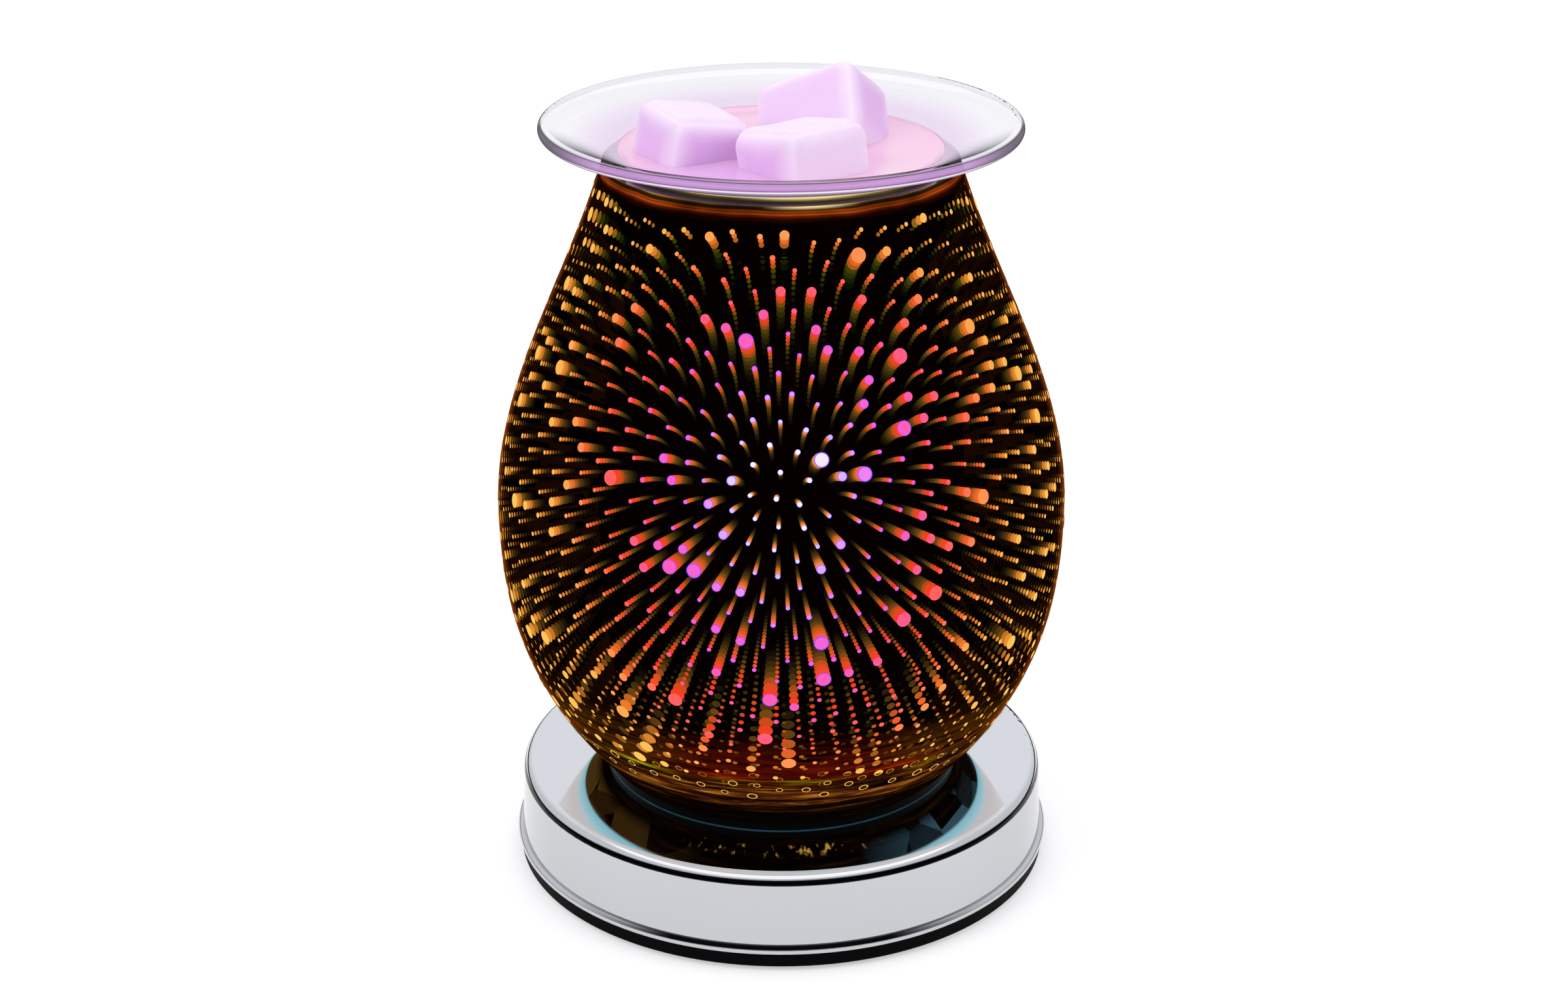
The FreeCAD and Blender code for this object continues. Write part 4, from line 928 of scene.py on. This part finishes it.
greener = add(
    tree, "ShaderNodeMix", tint_colours, {0: near_top, 6: far_colour.outputs[0], 7: linear("#a0f4a0")}
)
far_mix = add(tree, "ShaderNodeMix", mix_colours, {0: late, 6: near_mix, 7: greener.outputs[2]}).outputs[2]
at_rim = add(tree, "ShaderNodeMapRange", {}, {0: rim, 1: 0.82, 2: 0.92})
is_first = add(tree, "ShaderNodeMath", {"operation": "LESS_THAN"}, {0: share, 1: 0.01})
violet = add(tree, "ShaderNodeMapRange", {}, {0: zone, 1: 0.5, 2: 0.35})
rim_share = add(tree, "ShaderNodeMath", times, {0: at_rim, 1: is_first})
rim_share = add(tree, "ShaderNodeMath", times, {0: rim_share, 1: violet})
rimmed = add(tree, "ShaderNodeMix", mix_colours, {0: rim_share, 6: far_mix, 7: linear("#8f4cff")}).outputs[2]
low = add(
    tree, "ShaderNodeMath", {"operation": "LESS_THAN"}, {0: height, 1: (ring_start + ring_full) / 2 * MM}
)
middle = add(tree, "ShaderNodeMapRange", {}, {0: rim, 1: 0.84, 2: 0.74})
hollow = add(tree, "ShaderNodeMath", times, {0: low, 1: middle})
ringed = add(tree, "ShaderNodeMix", mix_colours, {0: hollow, 6: rimmed, 7: linear("#3a1a06")}).outputs[2]
faced = add(tree, "ShaderNodeMix", mix_colours, {0: front, 6: linear("#020101"), 7: ringed}).outputs[2]
shining = add(tree, "ShaderNodeEmission", {}, {0: faced, 1: 1.1})
tree.links.new(shining.outputs[0], output.inputs[0])
image_light.cycles.emission_sampling = "NONE"


def grown(name, source, tree, values):
    """A plain mesh object from what a node tree makes of the source object, which is then removed."""
    modifier = source.modifiers.new("growth", "NODES")
    modifier.node_group = tree
    for socket in tree.interface.items_tree:
        if socket.name in values:
            modifier[socket.identifier] = values[socket.name]
    evaluated = source.evaluated_get(bpy.context.evaluated_depsgraph_get())
    mesh = bpy.data.meshes.new_from_object(evaluated)
    bpy.data.objects.remove(source)
    return new_object(name, mesh)


hole_spacing, row_depth, images_in_row = 4.4, 13, 11
widest_hole_r = 1.5
fine_end, small_end = 0.37, 0.74
image_lift = 0.12
holes_start, holes_span = 0.17, 1.76
hole_shares = [holes_start + holes_span * i / outline_steps for i in range(outline_steps + 1)]
hole_outline = [shade_outline(s, film_inset - image_lift) for s in hole_shares][::-1]
for name, first, last, hole_r, widest_from, corners in (
    ("fine_lamp_images", 0.0, fine_end, 0.44, 1.0, 10),
    ("small_lamp_images", fine_end, small_end, 0.54, 1.0, 10),
    ("large_lamp_images", small_end, 1.0, 0.95, 0.94, 14),
):
    source = new_object(name + "_source", lathe(name, hole_outline))
    values = {
        "Spacing": hole_spacing * MM, "Depth": row_depth * MM, "Images": images_in_row,
        "From Share": first, "To Share": last, "Radius": hole_r * MM, "Large Share": widest_from,
        "Large Radius": widest_hole_r * MM, "Corners": corners, "Seed": 11, "Finish": image_light,
    }
    lenses_piece = grown(name, source, images, values)
    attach(lenses_piece, "base")

# Dish: pressed clear glass with a fire-polished rim. Along its edges the eye looks through more
# glass, which draws grey lines. Light is painted on it: lilac from the wax on the lower wall, the
# well's edge and the front of its rim, with a white highlight line on the rim, and gold light from
# below on the curve above the shade's lip. The rim is tinted a little grey underneath as painted shade.
wall_top, wall_full = 158.5, 156
well_edge_top, well_edge_full = 160.0, 157.2
bead_inner, bead_full = 46.6, 47.2
bead_low, bead_high = 159.31, 162.01
bead_face_top, bead_face_full = 161.92, 161.78
grey_start, grey_full = 32, 46
front_blend = 6
lip_low, lip_high = 153.5, 156.8
lip_start, lip_start_full, lip_end_full, lip_end = 152.8, 154.0, 156.6, 157.4
lip_ripple, lip_ripple_width = 1.2, 22
lip_glare_place = (6, -36, 154.6)
lip_glare_core, lip_glare_end = 2, 17
lip_glare_low, lip_glare_full = 154.2, 155.6
clear_glass, tree, output = new_finish("pressed clear glass")
place = add(tree, "ShaderNodeTexCoord")
height = add(tree, "ShaderNodeSeparateXYZ", {}, {0: place.outputs["Object"]})
# Painted light: the lower wall takes a lilac tint, for the wax seen through it.
wall = add(
    tree, "ShaderNodeMapRange", {}, {0: height.outputs["Z"], 1: wall_top * MM, 2: wall_full * MM}
)
tint = add(tree, "ShaderNodeMix", mix_colours, {0: wall, 6: linear("#f4f4f5"), 7: linear("#f6eef9")})
edge_on = add(tree, "ShaderNodeLayerWeight", {}, {"Blend": 0.5})
thick = add(tree, "ShaderNodeMapRange", smooth, {0: edge_on.outputs["Facing"], 1: 0.8, 2: 0.98})
side = add(tree, "ShaderNodeNewGeometry")
slope = add(tree, "ShaderNodeSeparateXYZ", {}, {0: side.outputs["Normal"]})
underside = add(tree, "ShaderNodeMapRange", {}, {0: slope.outputs["Z"], 1: 0.3, 2: 0.1})
flat = add(tree, "ShaderNodeVectorMath", times, {0: place.outputs["Object"], 1: (1, 1, 0)})
span = add(tree, "ShaderNodeVectorMath", {"operation": "LENGTH"}, {0: flat}).outputs["Value"]
bead = add(tree, "ShaderNodeMapRange", {}, {0: span, 1: bead_inner * MM, 2: bead_full * MM})
# Painted shade: the rim's underside is tinted a little grey.
bead_under = add(tree, "ShaderNodeMath", times, {0: bead, 1: underside})
rim_tint = add(tree, "ShaderNodeMix", mix_colours, {0: bead_under, 6: tint.outputs[2], 7: linear("#e6e5e8")})
depth_tint = add(tree, "ShaderNodeMix", mix_colours, {0: thick, 6: rim_tint.outputs[2], 7: linear("#545258")})
body = add(tree, "ShaderNodeBsdfTransparent", {}, {0: depth_tint.outputs[2]})
polish = add(tree, "ShaderNodeBsdfGlossy", {}, {"Color": linear("#ffffff"), "Roughness": 0.02})
fresnel = add(tree, "ShaderNodeFresnel", {}, {"IOR": 1.3})
gloss_share = add(tree, "ShaderNodeMath", times, {0: fresnel, 1: 0.2})
passing = add(tree, "ShaderNodeMixShader", {}, {0: gloss_share, 1: body, 2: polish})
# Painted light on the curve above the shade's lip: dark olive, gold and lilac bands with a gold glare.
wander = add(
    tree, "ShaderNodeTexNoise", {},
    {"Vector": place.outputs["Object"], "Scale": 1 / (lip_ripple_width * MM), "Detail": 1.0},
)
shift = add(
    tree, "ShaderNodeMapRange", {}, {0: wander.outputs["Fac"], 3: -lip_ripple * MM, 4: lip_ripple * MM}
)
lip_height = add(tree, "ShaderNodeMath", {"operation": "ADD"}, {0: height.outputs["Z"], 1: shift})
lip_share = add(tree, "ShaderNodeMapRange", {}, {0: lip_height, 1: lip_low * MM, 2: lip_high * MM})
lip_light = add(tree, "ShaderNodeValToRGB", {}, {0: lip_share})
lip_light.color_ramp.elements[0].color = linear("#120c02")
lip_light.color_ramp.elements[1].color = linear("#caa8d6")
for place_share, code in (
    (0.3, "#2a2a08"), (0.5, "#6a5a14"), (0.62, "#e8b848"), (0.72, "#fff0b8"), (0.86, "#c8a0b8"),
):
    lip_light.color_ramp.elements.new(place_share).color = linear(code)
glare_reach = add(
    tree, "ShaderNodeVectorMath", {"operation": "DISTANCE"},
    {0: place.outputs["Object"], 1: tuple(c * MM for c in lip_glare_place)},
).outputs["Value"]
glare_near = add(
    tree, "ShaderNodeMapRange", smooth, {0: glare_reach, 1: lip_glare_end * MM, 2: lip_glare_core * MM}
)
glare_high = add(
    tree, "ShaderNodeMapRange", smooth,
    {0: height.outputs["Z"], 1: lip_glare_low * MM, 2: lip_glare_full * MM},
)
glare = add(tree, "ShaderNodeMath", times, {0: glare_near, 1: glare_high})
lip_lit = add(tree, "ShaderNodeMix", mix_colours, {0: glare, 6: lip_light.outputs[0], 7: linear("#ffeaa8")})
lip_glow = add(tree, "ShaderNodeEmission", {}, {0: lip_lit.outputs[2]})
below_lip = add(
    tree, "ShaderNodeMapRange", {}, {0: height.outputs["Z"], 1: lip_end * MM, 2: lip_end_full * MM}
)
seen_front = add(tree, "ShaderNodeMath", {"operation": "SUBTRACT"}, {0: 1.0, 1: side.outputs["Backfacing"]})
above_well = add(
    tree, "ShaderNodeMapRange", {},
    {0: height.outputs["Z"], 1: lip_start * MM, 2: lip_start_full * MM, 4: 0.9},
)
lip_face = seen_front
for share in (underside, below_lip, above_well):
    lip_face = add(tree, "ShaderNodeMath", times, {0: lip_face, 1: share})
lip = add(tree, "ShaderNodeMixShader", {}, {0: lip_face, 1: passing, 2: lip_glow})
# Painted light: lilac from the wax glows on the upper side of the well's edge.
upper_side = add(tree, "ShaderNodeMapRange", {}, {0: slope.outputs["Z"], 1: 0.1, 2: 0.3})
well_edge = add(
    tree, "ShaderNodeMapRange", {},
    {0: height.outputs["Z"], 1: well_edge_top * MM, 2: well_edge_full * MM, 4: 0.8},
)
for share in (upper_side, seen_front):
    well_edge = add(tree, "ShaderNodeMath", times, {0: well_edge, 1: share})
wax_light = add(tree, "ShaderNodeEmission", {}, {0: linear("#e8d8ee")})
edged = add(tree, "ShaderNodeMixShader", {}, {0: well_edge, 1: lip, 2: wax_light})
# Painted light on the front of the rim: lilac bands between dark lines and a white highlight, greyer at the
# sides.
bead_share = add(
    tree, "ShaderNodeMapRange", {}, {0: height.outputs["Z"], 1: bead_low * MM, 2: bead_high * MM}
)
bead_light = add(tree, "ShaderNodeValToRGB", {}, {0: bead_share})
bead_light.color_ramp.elements[0].color = linear("#9a80aa")
bead_light.color_ramp.elements[1].color = linear("#f0e6f4")
for place_share, code in (
    (0.16, "#b898c6"), (0.22, "#ffffff"), (0.3, "#f6eef8"), (0.35, "#6a3c7c"), (0.42, "#c08ed0"),
    (0.62, "#d2a6de"), (0.82, "#c496d2"), (0.87, "#50305f"), (0.93, "#d8c4e0"),
):
    bead_light.color_ramp.elements.new(place_share).color = linear(code)
sideways = add(tree, "ShaderNodeSeparateXYZ", {}, {0: flat})
spread = add(tree, "ShaderNodeMath", {"operation": "ABSOLUTE"}, {0: sideways.outputs["X"]})
grey_share = add(tree, "ShaderNodeMapRange", smooth, {0: spread, 1: grey_start * MM, 2: grey_full * MM})
greyed = add(
    tree, "ShaderNodeMix", tint_colours,
    {0: grey_share, 6: bead_light.outputs[0], 7: linear("#5e5e62")},
)
bead_glow = add(tree, "ShaderNodeEmission", {}, {0: greyed.outputs[2]})
bead_face = add(
    tree, "ShaderNodeMapRange", {},
    {0: height.outputs["Z"], 1: bead_face_top * MM, 2: bead_face_full * MM, 4: 0.85},
)
in_front = add(
    tree, "ShaderNodeMapRange", {}, {0: sideways.outputs["Y"], 1: front_blend * MM, 2: -front_blend * MM}
)
for share in (bead, seen_front, in_front):
    bead_face = add(tree, "ShaderNodeMath", times, {0: bead_face, 1: share})
rimmed = add(tree, "ShaderNodeMixShader", {}, {0: bead_face, 1: edged, 2: bead_glow})
tree.links.new(rimmed.outputs[0], output.inputs[0])
clear_glass.cycles.emission_sampling = "NONE"
dress(clear_glass, "glass_dish")

# Melted wax: a glossy pink pool that fills the well and stands a little up its wall. It is lilac
# where the left cube melts into it, and glows faintly with painted light.
melt_place = (-15, -21, 155.6)
melt_core, melt_end = 6, 17
cloud_width = 16
pool_wax, tree, output = new_finish("melted wax")
place = add(tree, "ShaderNodeTexCoord")
cloud = add(
    tree, "ShaderNodeTexNoise", {},
    {"Vector": place.outputs["Object"], "Scale": 1 / (cloud_width * MM), "Detail": 2.0},
)
pinks = add(
    tree, "ShaderNodeMix", mix_colours,
    {0: cloud.outputs["Fac"], 6: linear("#e4b4d4"), 7: linear("#ecc6da")},
)
melt_reach = add(
    tree, "ShaderNodeVectorMath", {"operation": "DISTANCE"},
    {0: place.outputs["Object"], 1: tuple(c * MM for c in melt_place)},
).outputs["Value"]
melting = add(
    tree, "ShaderNodeMapRange", smooth, {0: melt_reach, 1: melt_end * MM, 2: melt_core * MM, 4: 0.8}
)
pool_colour = add(tree, "ShaderNodeMix", mix_colours, {0: melting, 6: pinks.outputs[2], 7: linear("#dcb0e4")})
# Painted light: the pool glows faintly in its own colour.
surface = add(
    tree, "ShaderNodeBsdfPrincipled", {},
    {
        "Base Color": pool_colour.outputs[2], "Roughness": 0.12, "IOR": 1.44, "Subsurface Weight": 0.6,
        "Subsurface Radius": (4 * MM, 2 * MM, 3 * MM), "Emission Color": pool_colour.outputs[2],
        "Emission Strength": 0.06,
    },
)
tree.links.new(surface.outputs[0], output.inputs[0])
pool_wax.cycles.emission_sampling = "NONE"
pool_outline = [
    (0, 147.16), (26.2, 147.16), (29, 147.9), (30.9, 149.2), (31.9, 151.2), (32.1, 153), (32.15, 154),
    (32.5, 155.5), (32.75, 156.3), (32.2, 155.95), (31.4, 155.74), (30.2, 155.66), (0, 155.66),
]
pool = new_object("wax_pool", lathe("wax_pool", pool_outline))
pool.data.materials.append(pool_wax)
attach(pool, "dish")
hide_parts("melted_wax")

# Wax cubes: soy wax snapped from a moulded bar, half melted, so that their edges are rounded and
# their undersides lie flat on the well's floor. Light soaks into them, and it is painted on: thin
# edges and upper faces are painted palest, two of the cubes have a side painted pale where the lamp
# lights through, and the wax glows faintly with painted light.
cloud_width, skin_width = 9, 1.2
soft_wax, tree, output = new_finish("scented soy wax")
place = add(tree, "ShaderNodeTexCoord")
painted_paleness = add(tree, "ShaderNodeAttribute", {"attribute_name": "painted_light_share"}).outputs["Fac"]
cloud = add(
    tree, "ShaderNodeTexNoise", {},
    {"Vector": place.outputs["Object"], "Scale": 1 / (cloud_width * MM), "Detail": 3.0},
)
body_colour = add(
    tree, "ShaderNodeMix", mix_colours,
    {0: cloud.outputs["Fac"], 6: linear("#d8aee2"), 7: linear("#e4c0ea")},
)
# The wax colour, painted paler where light soaks in, and a faint painted glow.
wax_colour_and_light = add(
    tree, "ShaderNodeMix", mix_colours, {0: painted_paleness, 6: body_colour.outputs[2], 7: linear("#f2e6f5")}
)
skin = add(
    tree, "ShaderNodeTexNoise", {},
    {"Vector": place.outputs["Object"], "Scale": 1 / (skin_width * MM), "Detail": 3.0},
)
bump = add(
    tree, "ShaderNodeBump", {}, {"Strength": 0.4, "Distance": 0.05 * MM, "Height": skin.outputs["Fac"]}
)
surface = add(
    tree, "ShaderNodeBsdfPrincipled", {},
    {
        "Base Color": wax_colour_and_light.outputs[2], "Roughness": 0.42, "IOR": 1.44, "Subsurface Weight": 0.8,
        "Subsurface Radius": (5 * MM, 2.5 * MM, 4 * MM), "Emission Color": wax_colour_and_light.outputs[2],
        "Emission Strength": 0.06, "Normal": bump.outputs["Normal"],
    },
)
tree.links.new(surface.outputs[0], output.inputs[0])
soft_wax.cycles.emission_sampling = "NONE"

well_floor = 148.2
round_edge = 4.2
edge_spread = 0.92
skin_depth, skin_wave, skin_sag = 0.25, 0.16, 0.22
for name, body, centre, size, turns, lit_side_paleness, lit_side_facing in (
    ("wax_left", "left_cube", (-18.35, -3.4, 156.1), (18.8, 18.8, 17.7), (31, 10, 4), 0.0, 1),
    ("wax_front", "front_cube", (4.35, -14.65, 155.2), (20.9, 20.9, 18.7), (38, 0, -10), 0.65, 1),
    ("wax_back", "back_cube", (8.85, 12.25, 156.7), (23.5, 19.3, 19.6), (-19, -23, -38), 0.4, -1),
):
    made = bmesh.new()
    bmesh.ops.create_cube(made, size=2.0)
    bmesh.ops.subdivide_edges(made, edges=made.edges[:], cuts=23, use_grid_fill=True)
    half = Vector(size) / 2
    shares = made.verts.layers.float.new("painted_light_share")
    yaw, lean, pitch = (math.radians(a) for a in turns)
    turn = Euler((pitch, lean, yaw), "XYZ").to_matrix()
    for v in made.verts:
        unit = Vector(
            math.sin(c * math.pi / 2 * edge_spread) / math.sin(math.pi / 2 * edge_spread) for c in v.co
        )
        reach = Vector(u * h for u, h in zip(unit, half))
        core = Vector(max(min(c, h - round_edge), round_edge - h) for c, h in zip(reach, half))
        away = (reach - core).normalized()
        near = sorted(1 - abs(c) / h for c, h in zip(reach, half))[1]
        # Painted light: paler near the edges, on the upper faces and on the side the lamp lights through.
        upper = 0.75 * min(max((turn @ away).z * 2 - 0.9, 0.0), 1.0)
        pale = lit_side_paleness * min(max(0.5 + 1.5 * lit_side_facing * (turn @ away).x, 0.0), 1.0)
        v[shares] = max(0.85 * max(0.0, 1 - near * 1.5) ** 1.2, upper, pale)
        sag = skin_sag * noise.noise(reach * skin_wave + Vector(centre))
        v.co = (turn @ (core + away * (round_edge - skin_depth + sag)) + Vector(centre)) * MM
    made.normal_update()
    bmesh.ops.bisect_plane(
        made, geom=made.verts[:] + made.edges[:] + made.faces[:], plane_co=(0, 0, well_floor * MM),
        plane_no=(0, 0, 1), clear_inner=True,
    )
    open_edges = [e for e in made.edges if e.is_boundary]
    bmesh.ops.contextual_create(made, geom=open_edges)
    for f in made.faces:
        f.smooth = True
    mesh = bpy.data.meshes.new(name + "_cube")
    made.to_mesh(mesh)
    made.free()
    mesh.materials.append(soft_wax)
    cube = new_object(name + "_cube", mesh)
    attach(cube, body)
    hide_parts(name)
